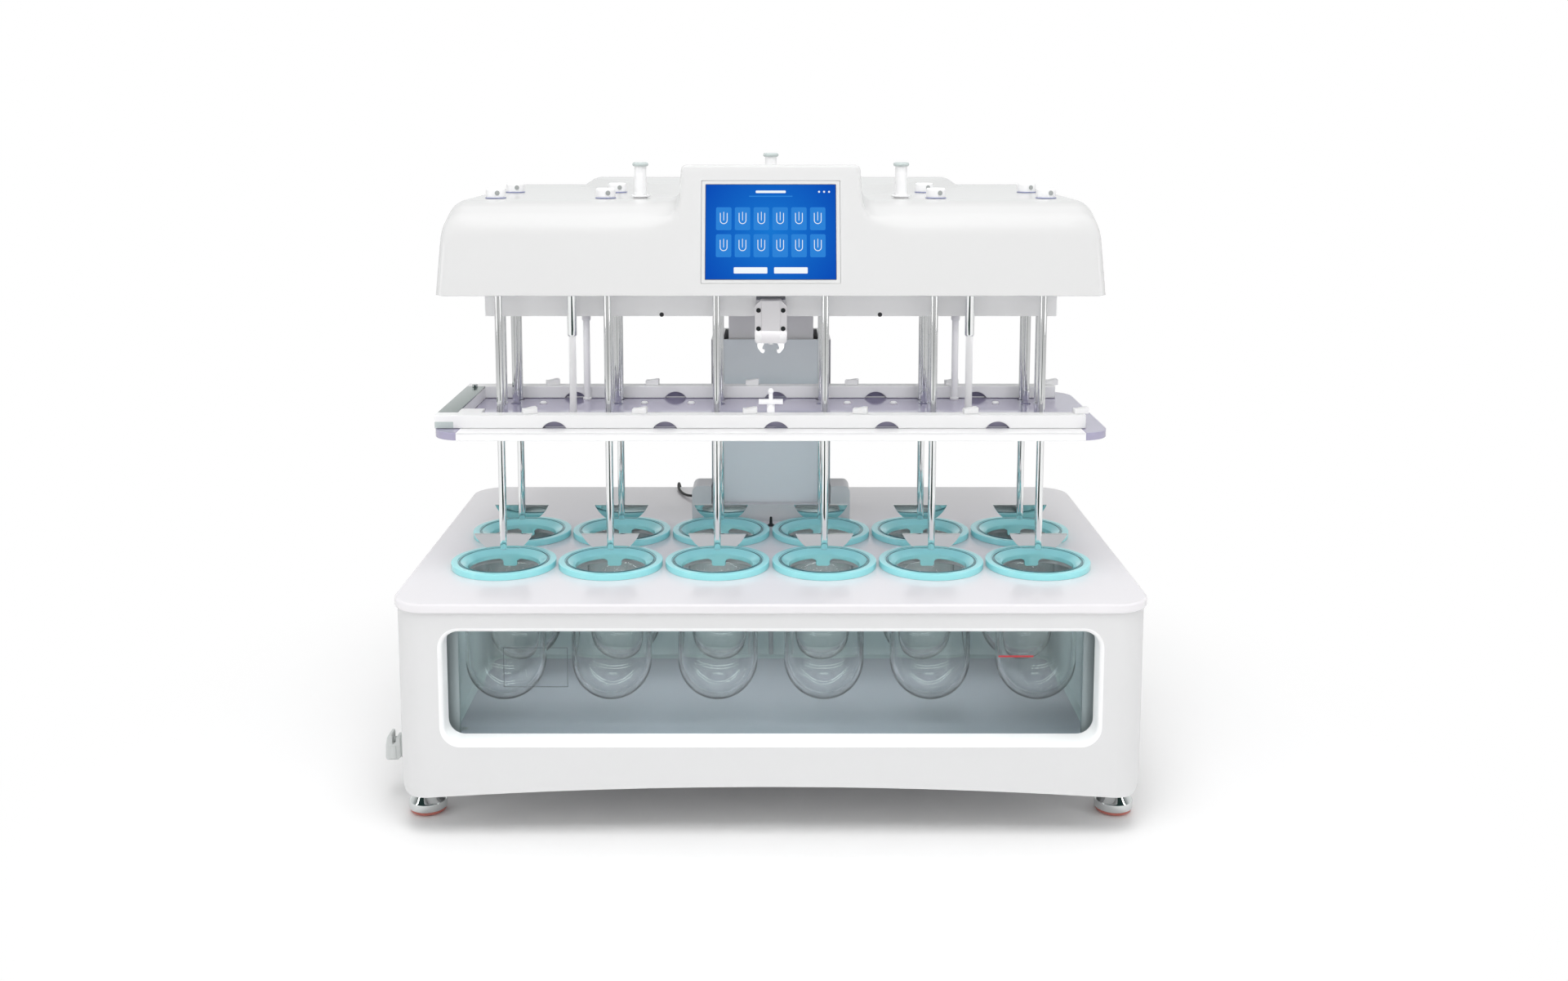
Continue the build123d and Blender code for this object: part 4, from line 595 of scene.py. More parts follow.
class TESTER_OT_cable(bpy.types.Operator):
    """Lays the cable from the column to the back wall, with a nut at each end"""

    bl_idname = "tester.cable"
    bl_label = "Cable"

    def execute(self, context):
        curve = bpy.data.curves.new("sensor_cable", "CURVE")
        curve.dimensions = "3D"
        spline = curve.splines.new("NURBS")
        spline.points.add(len(CABLE_ROUTE) - 1)
        route = [Vector(place) + CABLE_ORIGIN for place in CABLE_ROUTE]
        for point, place in zip(spline.points, route):
            point.co = (*place, 1)
        spline.order_u = 3
        spline.use_endpoint_u = True
        spline.resolution_u = 8
        curve.bevel_depth = CABLE_DIAMETER / 2
        curve.bevel_resolution = 4
        curve.use_fill_caps = True
        cable = bpy.data.objects.new("sensor_cable", curve)
        context.collection.objects.link(cable)
        curve.materials.append(FINISH["sheath"])
        context.view_layer.update()
        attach(cable, "base")
        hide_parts("column_cable")

        nut_r, throat_r = 0.0065, CABLE_DIAMETER / 2 + 0.0002
        start, end = route[0], route[-1]
        glands = []
        for place, along, direction in (
            (start, abs(start.x - low("fixed_column").x), Vector((-1, 0, 0))),
            (end, abs(end.y - high("base_cabinet").y), Vector((0, 1, 0))),
        ):
            nut = [(throat_r, 0), (nut_r, 0), (nut_r, along * 0.7), (nut_r * 0.8, along), (throat_r, along)]
            boot = [(0.0031, along), (0.0031, along + 0.001), (throat_r, along + 0.004)]
            turn = direction.to_track_quat("Z", "Y").to_matrix().to_4x4()
            matrix = Matrix.Translation(place - direction * along) @ turn
            glands.append(placed(turned(nut, 0.0004, "dark", sides=24), matrix))
            glands.append(placed(turned(boot, 0.0003, "sheath", sides=24), matrix))
        nuts = piece("cable_nuts", glands, "base", "cable_glands")
        return {"FINISHED"}


CABINET_WALL = 0.004
PLAN_CELL = 0.012
WINDOW_SIZE = (0.788, 0.1388)
WINDOW_Z = 0.1894
WINDOW_CORNER = 0.020
WINDOW_LIP = 0.005
REVEAL_DEPTH = 0.030
BACK_OPENING_Z = 0.130
LEDGE_WIDTH = 0.046


class TESTER_OT_cabinet(bpy.types.Operator):
    """Makes the cabinet's shell with its arched foot, the frame round the window and the ledge inside"""

    bl_idname = "tester.cabinet"
    bl_label = "Cabinet"

    arch_rise: length_setting("Arch rise", "Height of the arch", 0.015)
    foot_gap: length_setting("Foot gap", "Height of the lower edge at its corners", 0.050)
    corner: length_setting("Corner", "Radius of the upright corners", 0.042)
    foot_corner: length_setting("Foot corner", "Radius of the lower corners", 0.019)

    def foot_height(self, x, half):
        """The height of the shell's lower edge at a distance from the middle."""
        arch_end = half - self.foot_corner
        bottom = self.foot_gap
        if abs(x) <= arch_end:
            arch_r = (arch_end**2 + self.arch_rise**2) / (2 * self.arch_rise)
            return bottom + self.arch_rise - arch_r + math.sqrt(arch_r**2 - x**2)
        over = min(abs(x) - arch_end, self.foot_corner)
        return bottom + self.foot_corner - math.sqrt(self.foot_corner**2 - over**2)

    def plan(self, width, depth):
        """The cabinet's outline from above, in short steps."""
        points = []
        outline = rectangle(width, depth, self.corner, (0, 0), 14)
        for here, there in zip(outline, outline[1:] + outline[:1]):
            cells = max(1, round(math.dist(here, there) / PLAN_CELL))
            for i in range(cells):
                share = i / cells
                points.append([a + (b - a) * share for a, b in zip(here, there)])
        return points

    def window(self, spread, steps=8):
        """The outline of the window, made larger all round."""
        width, height = (side + 2 * spread for side in WINDOW_SIZE)
        return rectangle(width, height, WINDOW_CORNER + spread, (CENTRE_X, WINDOW_Z), steps)

    def execute(self, context):
        lowest, highest = low("base_cabinet"), high("base_cabinet")
        width, depth = highest.x - lowest.x, highest.y - lowest.y
        self.shell(width, depth, lowest.y, highest.y)
        self.window_frame(lowest.y)
        self.ledge(width, depth)
        keep("floor_pan", "brushed")
        return {"FINISHED"}

    def shell(self, width, depth, front, back):
        """The shell, cut out for the window, the inlet and the rocker."""
        plan = self.plan(width, depth)
        rings = []
        for share in (0.0, 0.012, 0.5, 1.0):
            ring = []
            for x, y in plan:
                foot = self.foot_height(x, width / 2)
                ring.append((CENTRE_X + x, y, foot + (DECK_BOTTOM - foot) * share))
            rings.append(ring)
        skin = loft(rings, "paint", caps=False)
        shell = piece("cabinet_shell", [skin], "base", "base_cabinet")
        thicken(shell, CABINET_WALL)
        inlet = rectangle(0.046, 0.028, 0.002, (CENTRE_X + 0.330, BACK_OPENING_Z))
        rocker = rectangle(0.018, 0.026, 0.001, (CENTRE_X + 0.280, BACK_OPENING_Z))
        carve(shell, [
            upright_plate([self.window(WINDOW_LIP)], front - 0.01, front + 0.012, 0, "paint"),
            upright_plate([inlet], back - 0.012, back + 0.01, 0, "paint"),
            upright_plate([rocker], back - 0.012, back + 0.01, 0, "paint"),
        ])
        crisp(shell)

    def window_frame(self, front):
        """The frame: a rounded lip, the reveal inwards, and its back."""
        steps = 8
        rows = []
        for i in range(steps + 1):
            angle = math.pi / 2 * i / steps
            y = front - 0.0001 + WINDOW_LIP * (1 - math.cos(angle))
            rows.append((WINDOW_LIP * (1 - math.sin(angle)), y))
        rows += [(0, front + REVEAL_DEPTH), (0.0035, front + REVEAL_DEPTH)]
        rows += [(0.0035, front + WINDOW_LIP), (WINDOW_LIP, front + 0.002)]
        rings = [[(x, y, z) for x, z in self.window(spread, 10)] for spread, y in rows]
        piece("window_frame", [loft(rings, "resin", closed=True)], "base", None)

    def ledge(self, width, depth):
        """The ledge inside, on which the floor pan lies."""
        outer = rectangle(width - 0.009, depth - 0.009, self.corner - 0.005, (CENTRE_X, 0))
        inner = rectangle(width - 2 * LEDGE_WIDTH, depth - 2 * LEDGE_WIDTH, 0.012, (CENTRE_X, 0))
        ledge_top = self.foot_gap + self.arch_rise + CABINET_WALL
        ledge = plate([outer, inner], ledge_top - CABINET_WALL, ledge_top, 0.0005, "paint")
        piece("cabinet_ledge", [ledge], "base", None)


class TESTER_OT_deck(bpy.types.Operator):
    """Makes the deck plate with its twelve vessel holes and the openings for the column and the sensor"""

    bl_idname = "tester.deck"
    bl_label = "Deck"

    corner: length_setting("Corner", "Radius of the corners", 0.045)
    edge: length_setting("Edge", "Rounding of the rim", 0.003)

    def execute(self, context):
        lowest, highest = low("deck_plate"), high("deck_plate")
        outlines = [rectangle(highest.x - lowest.x, highest.y - lowest.y, self.corner, (CENTRE_X, 0), 20)]
        hole_r, sensor_r = 0.053, 0.0043
        outlines += [circle(hole_r, place.xy, 40) for place in STATIONS]
        column_low, column_high = low("fixed_column"), high("fixed_column")
        width, depth = (b - a + 0.001 for a, b in zip(column_low.xy, column_high.xy))
        outlines.append(rectangle(width, depth, 0.001, (CENTRE_X, (column_low.y + column_high.y) / 2)))
        outlines.append(circle(sensor_r, middle("bath_sensor").xy, 20))
        forms = [plate(outlines, DECK_BOTTOM, DECK_TOP, self.edge, "deck")]
        crisp(piece("deck", forms, "base", "deck_plate"))
        return {"FINISHED"}


TANK_WALL = 0.006
BOWL_Z = 0.169
VESSEL_R = 0.052
VESSEL_WALL = 0.0025
FLANGE_R = 0.06675


class TESTER_OT_bath(bpy.types.Operator):
    """Makes the clear tank, with its two marks, and the twelve glass vessels in it"""

    bl_idname = "tester.bath"
    bl_label = "Bath"

    tank_corner: length_setting("Tank corner", "Radius of its corners", 0.034)

    def execute(self, context):
        lowest, highest = low("bath_tank"), high("bath_tank")
        width, depth = highest.x - lowest.x, highest.y - lowest.y
        centre = (CENTRE_X, (lowest.y + highest.y) / 2)
        floor = lowest.z + TANK_WALL
        rings = []
        for inset, z in (
            (0.004, lowest.z), (0, lowest.z + 0.004), (0, highest.z), (TANK_WALL, highest.z),
            (TANK_WALL, floor + 0.012), (TANK_WALL + 0.004, floor + 0.003), (TANK_WALL + 0.012, floor),
        ):
            line = rectangle(width - 2 * inset, depth - 2 * inset, self.tank_corner - inset, centre, 10)
            rings.append([(x, y, z) for x, y in line])
        tank = piece("bath", [loft(rings, "tank")], "base", "bath_tank")
        for finish in ("painted_shade_backing", "bath_floor"):
            tank.data.materials.append(FINISH[finish])
        # The floor has a finish of its own; the ends and the back are painted grey-teal, painted shade for
        # the shaded white wall of the cabinet behind the clear tank
        for face in tank.data.polygons:
            x, y, z = face.center
            if z < floor + 0.001:
                face.material_index = 2
            elif abs(x - CENTRE_X) > width / 2 - self.tank_corner or y > highest.y - self.tank_corner:
                face.material_index = 1

        # Two forms that meet where the wall grows thicker downwards
        thin = sizes().thin_wall
        inner_r = VESSEL_R - VESSEL_WALL
        base_r = inner_r - 0.0025
        outside = arc((0, BOWL_Z), VESSEL_R, -90, 0, 16)
        outside += [(VESSEL_R, DECK_TOP - 0.003), (VESSEL_R + 0.001, DECK_TOP)]
        rim = [(FLANGE_R, DECK_TOP), (FLANGE_R, FLANGE_TOP), (inner_r, FLANGE_TOP)]
        upper = outside + eased(rim, 0.0008, steps=2) + [(inner_r, thin)]
        lower = [(inner_r, thin), (base_r, thin - 0.030)] + arc((0, BOWL_Z + 0.002), base_r, 0, -90, 16)
        forms = [lathe(line, "glass", sides=56, caps=False) for line in (upper, lower)]
        rows = []
        for number, place in enumerate(STATIONS, start=1):
            node = "vessels_front" if number <= 6 else "vessels_back"
            rows.append((f"vessel_{number:02d}", "base", node, place))
        repeat(rows, forms)

        front = lowest.y - 0.0004
        line = rectangle(0.043, 0.0022, 0, (CENTRE_X + 0.301, 0.2125))
        border = [rectangle(side, side - 0.0285, 0, (CENTRE_X - 0.289, 0.1985)) for side in (0.0790, 0.0776)]
        piece("level_mark", [upright_plate([line], front - 0.0003, front, 0, "level")], "base", None)
        piece("bare_label", [upright_plate(border, front - 0.0002, front, 0, "label")], "base", None)
        return {"FINISHED"}


class TESTER_OT_rings(bpy.types.Operator):
    """Makes the turquoise centring rings with their hanging tabs"""

    bl_idname = "tester.rings"
    bl_label = "Centring rings"

    tabs: IntProperty(name="Tabs", description="Tabs on each ring", default=3)

    def tab(self, angle, skirt, inner):
        """A tab that hangs from the ring's skirt and narrows downwards, with rounded corners."""
        top, bottom = FLANGE_TOP - 0.0075, FLANGE_TOP - 0.018
        half_width, flare, rounding = 0.0095, 0.0060, 0.0030
        rows = []
        for i in range(9):
            share = i / 8
            half = half_width + flare * (1 - min(share * 2.6, 1)) ** 2
            if share > 0.8:
                half -= rounding * ((share - 0.8) / 0.2) ** 2
            z = top + (bottom - top) * share
            angles = [angle + half / skirt * (2 * j / 10 - 1) for j in range(11)]
            ring = [(skirt * math.cos(a), skirt * math.sin(a), z) for a in angles]
            ring += [(inner * math.cos(a), inner * math.sin(a), z) for a in reversed(angles)]
            rows.append(ring)
        return loft(rows, "ring")

    def execute(self, context):
        outer, skirt, inner = 0.06725, 0.0475, 0.0455
        flange_r = FLANGE_R + 0.0001
        profile = [
            (skirt, FLANGE_TOP - 0.008), (skirt, FLANGE_TOP), (flange_r, FLANGE_TOP),
            (flange_r, DECK_TOP + 0.0002), (outer, DECK_TOP + 0.0002), (outer, RING_TOP),
            (0.0590, RING_TOP), (0.0583, RING_TOP - 0.0010), (0.0562, RING_TOP - 0.0010),
            (0.0552, RING_TOP - 0.0002), (0.0488, FLANGE_TOP + 0.0008), (inner, FLANGE_TOP - 0.002),
            (inner, FLANGE_TOP - 0.008), (skirt, FLANGE_TOP - 0.008),
        ]
        # A thin dark teal band laid in the groove on the ring's top: painted shade in the groove.
        groove_shade = [
            (0.0592, RING_TOP + 0.0001), (0.0583, RING_TOP - 0.0009), (0.0562, RING_TOP - 0.0009),
            (0.0550, RING_TOP), (0.0562, RING_TOP - 0.0012), (0.0583, RING_TOP - 0.0012),
            (0.0592, RING_TOP + 0.0001),
        ]
        forms = [lathe(eased(profile, 0.0009, steps=3), "ring", sides=72, caps=False)]
        forms.append(lathe(groove_shade, "groove_shade", sides=72, caps=False))
        for number in range(self.tabs):
            forms.append(self.tab(math.radians(90 + 360 * number / self.tabs), skirt, inner))
        rows = []
        for number, place in enumerate(STATIONS, start=1):
            rows.append((f"centring_ring_{number:02d}", "base", "vessel_rings", place))
        repeat(rows, forms)
        return {"FINISHED"}


class TESTER_OT_column(bpy.types.Operator):
    """Finishes the lift column, its panel, the shroud at its foot and what is behind it"""

    bl_idname = "tester.column"
    bl_label = "Column"

    def execute(self, context):
        keep("fixed_column", "rail_metal", 0.001)
        keep("head_column", "stage_grey")
        keep("column_panel", "panel")
        keep("column_shroud", "paint", 0.0015)
        keep("lift_motor", "zinc", 0.002)
        keep("lift_screw", "brushed", 0)
        keep("heater_pump", "zinc", 0.002)
        keep("power_inlet", "dark")
        keep("power_switch", "dark")
        at = middle("bath_sensor").xy
        bottom, top = low("bath_sensor").z, high("bath_sensor").z
        tail_z = low("bath_tank").z + 0.015
        tail = [(0.0, tail_z), (0.0034, tail_z + 0.002), (0.0034, bottom + 0.001), (0.0, bottom + 0.001)]
        pin = [
            (0.0, bottom), (0.0037, bottom), (0.0040, bottom + 0.004), (0.0040, DECK_TOP), (0.0060, DECK_TOP),
            (0.0045, DECK_TOP + 0.0012), (0.0022, DECK_TOP + 0.0028), (0.0018, top - 0.001), (0.0, top),
        ]
        piece("bath_probe_tail", [turned(tail, 0.0005, "rail_metal", at)], "base", None)
        piece("bath_probe", [turned(pin, 0.0006, "dark", at)], "base", "bath_sensor")
        return {"FINISHED"}


class TESTER_OT_feet(bpy.types.Operator):
    """Turns the four levelling feet and their pads"""

    bl_idname = "tester.feet"
    bl_label = "Feet"

    def execute(self, context):
        lowest, highest = low("foot_pads"), high("foot_pads")
        pad_r, cup_r, neck_r = 0.0225, 0.0240, 0.0070
        pad_top, stem_top = highest.z, high("foot_cups").z
        steel = [
            (0.0, pad_top), (pad_r, pad_top), (cup_r, pad_top + 0.0012), (cup_r, pad_top + 0.0105),
            (0.0232, pad_top + 0.0120), (0.0142, 0.0305), (0.0130, 0.0312), (neck_r, 0.0312),
            (neck_r, stem_top), (0.0, stem_top),
        ]
        pad = [(0.0, 0.0), (0.0185, 0.0), (0.0222, 0.0022), (pad_r, pad_top), (0.0, pad_top)]
        cup_form = turned(steel, 0.0006, "mirror", sides=48)
        pad_form = turned(pad, 0.0008, "pad", sides=48)
        rows, columns = (lowest.y + pad_r, highest.y - pad_r), (lowest.x + pad_r, highest.x - pad_r)
        spots = [(x, y, 0) for y in rows for x in columns]
        for number, spot in enumerate(spots, start=1):
            piece(f"foot_{number}", [cup_form], "base", "foot_cups", spot)
            piece(f"foot_pad_{number}", [pad_form], "base", "foot_pads", spot)
        return {"FINISHED"}


class TESTER_OT_drain(bpy.types.Operator):
    """Makes the drain valve and its lever"""

    bl_idname = "tester.drain"
    bl_label = "Drain valve"

    def execute(self, context):
        keep("drain_valve", "valve", 0.0008)
        lowest, highest = low("drain_lever"), high("drain_lever")
        width, height = highest.x - lowest.x, highest.z - lowest.z
        shape = [
            (0.03, 0.05), (0.10, 0.0), (0.82, 0.0), (0.92, 0.08), (1.0, 0.10), (1.0, 0.86), (0.70, 0.86),
            (0.68, 0.70), (0.52, 0.60), (0.45, 0.66), (0.46, 0.90), (0.42, 1.0), (0.26, 1.0), (0.12, 0.88),
            (0.03, 0.60), (0.0, 0.12),
        ]
        outline = [(lowest.x + width * u, lowest.z + height * v) for u, v in shape]
        outline = eased(outline, 0.0009, closed=True)
        grip = upright_plate([outline], lowest.y + 0.001, highest.y, 0.0010, "lever")
        spot = (lowest.x + width * 0.50, lowest.z + height * 0.30)
        rib = rectangle(width * 0.40, height * 0.50, 0.001, spot)
        rib = upright_plate([rib], lowest.y, lowest.y + 0.003, 0.0006, "lever")
        piece("drain_grip", [grip, rib], "drain_lever", "drain_lever")
        return {"FINISHED"}


FRONT_TILT = math.radians(16.7)
SHOULDER_SLOPE = math.radians(22.0)
SIDE_DRAFT = math.radians(2.5)
SHOULDER_Y = -0.170
CROWN_Z = 0.768
HOUSING_HALF = 0.110
HOUSING_TOP = 0.812
HOUSING_BACK = -0.147
HOUSING_BACK_Z = 0.775
HOUSING_FRONT = HEAD_FRONT + (HOUSING_TOP - HEAD_BOTTOM) * math.tan(FRONT_TILT)
RIDGE_BACK = HOUSING_FRONT + 0.022
FAIRING_TOP = 0.779
UNDER_DROP = 0.020
COVER_WALL = 0.004
POCKET_R = 0.01425
BEZEL_WIDTH = 0.166
BEZEL_HEIGHT = 0.1255
BEZEL_GAP = 0.0006


def smooth_max(a, b, blend):
    """The larger of two fields, with the corner between them rounded."""
    near = np.maximum(blend - np.abs(a - b), 0) / blend
    return np.maximum(a, b) + near**2 * blend / 4


def smooth_min(a, b, blend):
    """The smaller of two fields, with a hollow fillet between them."""
    return -smooth_max(-a, -b, blend)


def side_of(points, a, b, c):
    """The distance of points from the plane through three places, above it positive."""
    a, b, c = (np.array(v) for v in (a, b, c))
    normal = np.cross(b - a, c - a)
    normal = normal / np.linalg.norm(normal)
    if normal[2] < 0:
        normal = -normal
    return (points - a) @ normal


def cover_field(points):
    """How far points are outside the head cover, with its screen housing and fairing."""
    x, y, z = np.abs(points[:, 0] - CENTRE_X), points[:, 1], points[:, 2]
    mirrored = np.stack([x, y, z], axis=1)
    front = -(y - HEAD_FRONT) * math.cos(FRONT_TILT) + (z - HEAD_BOTTOM) * math.sin(FRONT_TILT)
    slope = -(y - SHOULDER_Y) * math.sin(SHOULDER_SLOPE) + (z - CROWN_Z) * math.cos(SHOULDER_SLOPE)
    sides = (x - HEAD_HALF_WIDTH + (z - HEAD_BOTTOM) * math.tan(SIDE_DRAFT)) * math.cos(SIDE_DRAFT)
    roof = smooth_max(slope, z - CROWN_Z, 0.008)
    body = smooth_max(roof, sides, 0.024)
    body = smooth_max(body, y - HEAD_BACK, 0.010)

    foot, nose = 0.274, 0.110
    fairing = z - FAIRING_TOP
    edges = (
        ((foot, 0.165, CROWN_Z), (foot, 0.281, CROWN_Z), (0.262, 0.153, FAIRING_TOP)),
        ((foot, 0.165, CROWN_Z), (nose, -0.095, CROWN_Z), (0.191, 0.102, FAIRING_TOP)),
        ((nose, -0.095, CROWN_Z), (0.0, -0.095, CROWN_Z), (0.0, 0.050, FAIRING_TOP)),
    )
    for edge in edges:
        fairing = smooth_max(fairing, side_of(mirrored, *edge), 0.002)
    fairing = np.maximum(fairing, y - HEAD_BACK)
    body = smooth_min(body, fairing, 0.003)

    housing = smooth_max(x - HOUSING_HALF + (z - CROWN_Z) * math.tan(SIDE_DRAFT), z - HOUSING_TOP, 0.007)
    ridge = ((0.0, RIDGE_BACK, HOUSING_TOP), (0.1, RIDGE_BACK, HOUSING_TOP))
    back = side_of(mirrored, *ridge, (0.0, HOUSING_BACK, HOUSING_BACK_Z))
    housing = smooth_max(housing, back, 0.010)
    housing = smooth_max(housing, y - HOUSING_BACK, 0.006)
    body = smooth_min(body, housing, 0.022)

    reach = np.clip((x - HOUSING_HALF - 0.004) / 0.045, 0, 1)
    brow = 0.003 + 0.0112 * reach * reach * (3 - 2 * reach)
    return np.maximum(smooth_max(body, front, brow), HEAD_BOTTOM - UNDER_DROP - z)


def press_to_cover(points):
    """Points moved onto the cover's surface."""
    step = 1e-4
    for _ in range(6):
        value = cover_field(points)
        slopes = []
        for axis in np.eye(3):
            rise = cover_field(points + step * axis) - cover_field(points - step * axis)
            slopes.append(rise / (2 * step))
        slope = np.stack(slopes, axis=1)
        points = points - slope * (value / np.maximum((slope**2).sum(axis=1), 0.2))[:, None]
    return points


class TESTER_OT_cover(bpy.types.Operator):
    """Moulds the head cover, with the screen housing and the rear fairing in one skin"""

    bl_idname = "tester.cover"
    bl_label = "Head cover"

    def hull(self):
        """Plain forms that take up the cover's space."""
        under = HEAD_BOTTOM - UNDER_DROP
        shoulder = [
            (HEAD_FRONT - UNDER_DROP * math.tan(FRONT_TILT), under), (-0.222, 0.742), (SHOULDER_Y, CROWN_Z),
            (HEAD_BACK, CROWN_Z), (HEAD_BACK, under),
        ]
        housing = [
            (-0.235, 0.70), (HOUSING_FRONT, HOUSING_TOP), (RIDGE_BACK, HOUSING_TOP),
            (HOUSING_BACK, HOUSING_BACK_Z), (HOUSING_BACK, 0.74),
        ]
        forms = []
        for line, half in ((shoulder, HEAD_HALF_WIDTH - 0.003), (housing, HOUSING_HALF)):
            forms.append(loft([[(CENTRE_X + x, y, z) for y, z in line] for x in (-half, half)], "shell"))
        fairing = rectangle(0.53, HEAD_BACK - 0.03, 0, (CENTRE_X, (HEAD_BACK + 0.03) / 2))
        return forms + [plate([fairing], 0.75, FAIRING_TOP, 0, "shell")]

    def execute(self, context):
        cover = piece("cover", self.hull(), "head", "head_cover", merge=False)
        remesh = cover.modifiers.new("cells", "REMESH")
        remesh.mode = "VOXEL"
        remesh.voxel_size = sizes().cover_cell
        settle(cover)

        skin = bmesh.new()
        skin.from_mesh(cover.data)
        bmesh.ops.triangulate(skin, faces=[f for f in skin.faces if len(f.verts) > 4])
        places = press_to_cover(np.array([v.co[:] for v in skin.verts]))
        for vertex, place in zip(skin.verts, places):
            vertex.co = place
        skin.to_mesh(cover.data)
        skin.free()
        opening = rectangle(BEZEL_WIDTH + BEZEL_GAP, BEZEL_HEIGHT + BEZEL_GAP, 0.0008)
        recess = placed(plate([opening], -0.0034, 0.01, 0, "shell"), screen_frame())
        pocket = [(POCKET_R, CROWN_Z), (POCKET_R, 0.80)]
        pockets = [lathe(pocket, "shell", place.xy, 32) for place in STATIONS[8:10]]
        carve(cover, [recess] + pockets)

        skin = bmesh.new()
        skin.from_mesh(cover.data)
        everything = skin.verts[:] + skin.edges[:] + skin.faces[:]
        rim = (0, 0, HEAD_BOTTOM)
        bmesh.ops.bisect_plane(skin, geom=everything, plane_co=rim, plane_no=(0, 0, 1), clear_inner=True)
        for face in skin.faces:
            face.smooth = True
        skin.to_mesh(cover.data)
        skin.free()
        thicken(cover, COVER_WALL)
        settle(cover)
        cover.data.set_sharp_from_angle(angle=math.radians(40))
        cover.data.materials.clear()
        cover.data.materials.append(FINISH["shell"])
        return {"FINISHED"}


def screen_frame():
    """The screen's own axes: x to the right, y up its face, z out of it."""
    z = middle("touchscreen").z + 0.0015 * math.sin(FRONT_TILT)
    y = HEAD_FRONT + (z - HEAD_BOTTOM) * math.tan(FRONT_TILT)
    return Matrix.Translation((CENTRE_X, y, z)) @ Matrix.Rotation(math.pi / 2 - FRONT_TILT, 4, "X")


class TESTER_OT_screen(bpy.types.Operator):
    """Makes the touchscreen, lit with a plain station overview"""

    bl_idname = "tester.screen"
    bl_label = "Touchscreen"

    def cup(self, u, v):
        """The outline of a small vessel, open above."""
        outer, wall = 0.0045, 0.0008
        inner = outer - wall
        line = [(u - outer, v + 0.007), (u - outer, v - 0.002)] + arc((u, v - 0.002), outer, 180, 360, 12)
        line += [(u + outer, v + 0.007), (u + inner, v + 0.007), (u + inner, v - 0.002)]
        return line + arc((u, v - 0.002), inner, 0, -180, 12) + [(u - inner, v + 0.007)]

    def execute(self, context):
        width, height = 0.157, 0.1170
        title_v = height / 2 - 0.0095
        glow, ink = 0.00012, 0.0002
        marks = [
            (rectangle(BEZEL_WIDTH, BEZEL_HEIGHT, 0.001), -0.003, -0.0002, 0.0003, "shell"),
            (rectangle(width, height, 0.001), -0.001, -0.0001, 0, "screen_rim"),
            (rectangle(width - 0.0014, height - 0.0014, 0.0006), -0.0006, 0.0, 0, "screen"),
            (rectangle(0.036, 0.0030, 0.001, (0, title_v)), glow, ink, 0, "screen_white"),
            (rectangle(0.052, 0.0014, 0, (0, height / 2 - 0.0150)), glow, ink, 0, "screen_soft"),
        ]
        for i in range(3):
            marks.append((circle(0.0012, (0.058 + 0.006 * i, title_v), 20), glow, ink, 0, "screen_white"))
        column_step, row_step = 0.0225, 0.033
        for row in range(2):
            for column in range(6):
                u, v = (column - 2.5) * column_step, 0.016 - row * row_step
                stirrer = rectangle(0.0007, 0.0105, 0, (u, v + 0.003))
                marks.append((rectangle(0.0185, 0.028, 0.002, (u, v)), 0, glow, 0, "screen_soft"))
                marks.append((self.cup(u, v), glow, ink, 0, "screen_white"))
                marks.append((stirrer, glow, ink, 0, "screen_white"))
        for u in (-0.024, 0.024):
            marks.append((rectangle(0.040, 0.0075, 0.001, (u, -0.047)), 0, glow, 0, "screen_white"))
        forms = []
        for outline, *rest in marks:
            forms.append(placed(plate([outline], *rest), screen_frame()))
        piece("touch_panel", forms, "head", "touchscreen", merge=False)
        return {"FINISHED"}


class TESTER_OT_chassis(bpy.types.Operator):
    """Finishes the chassis under the head, with its screws, and the drive inside it"""

    bl_idname = "tester.chassis"
    bl_label = "Chassis"

    def execute(self, context):
        keep("head_chassis", "resin", 0.0008)
        keep("bearing_bars", "brushed", 0)
        keep("stir_motor", "zinc", 0.002)
        keep("stir_belt", "belt", 0)
        keep("drive_pulley", "rail_metal", 0)
        keep("probe_carriage", "rail_metal")
        head = [(0.0, 0.0), (0.0028, 0.0), (0.0028, 0.0012), (0.0020, 0.0018), (0.0, 0.0018)]
        screw = turned(head, 0.0003, "dark", sides=20)
        heads = [to_front(screw, CENTRE_X + x, low("head_chassis").y, 0.625) for x in (-0.136, 0.136)]
        piece("chassis_screws", heads, "head", None)
        return {"FINISHED"}


BLADE_LOW = 0.317
BLADE_HIGH = 0.336
SHAFT_R = 0.004875
PULLEY_LOW = 0.686
HUB_LOW = 0.769
HUB_HIGH = 0.781


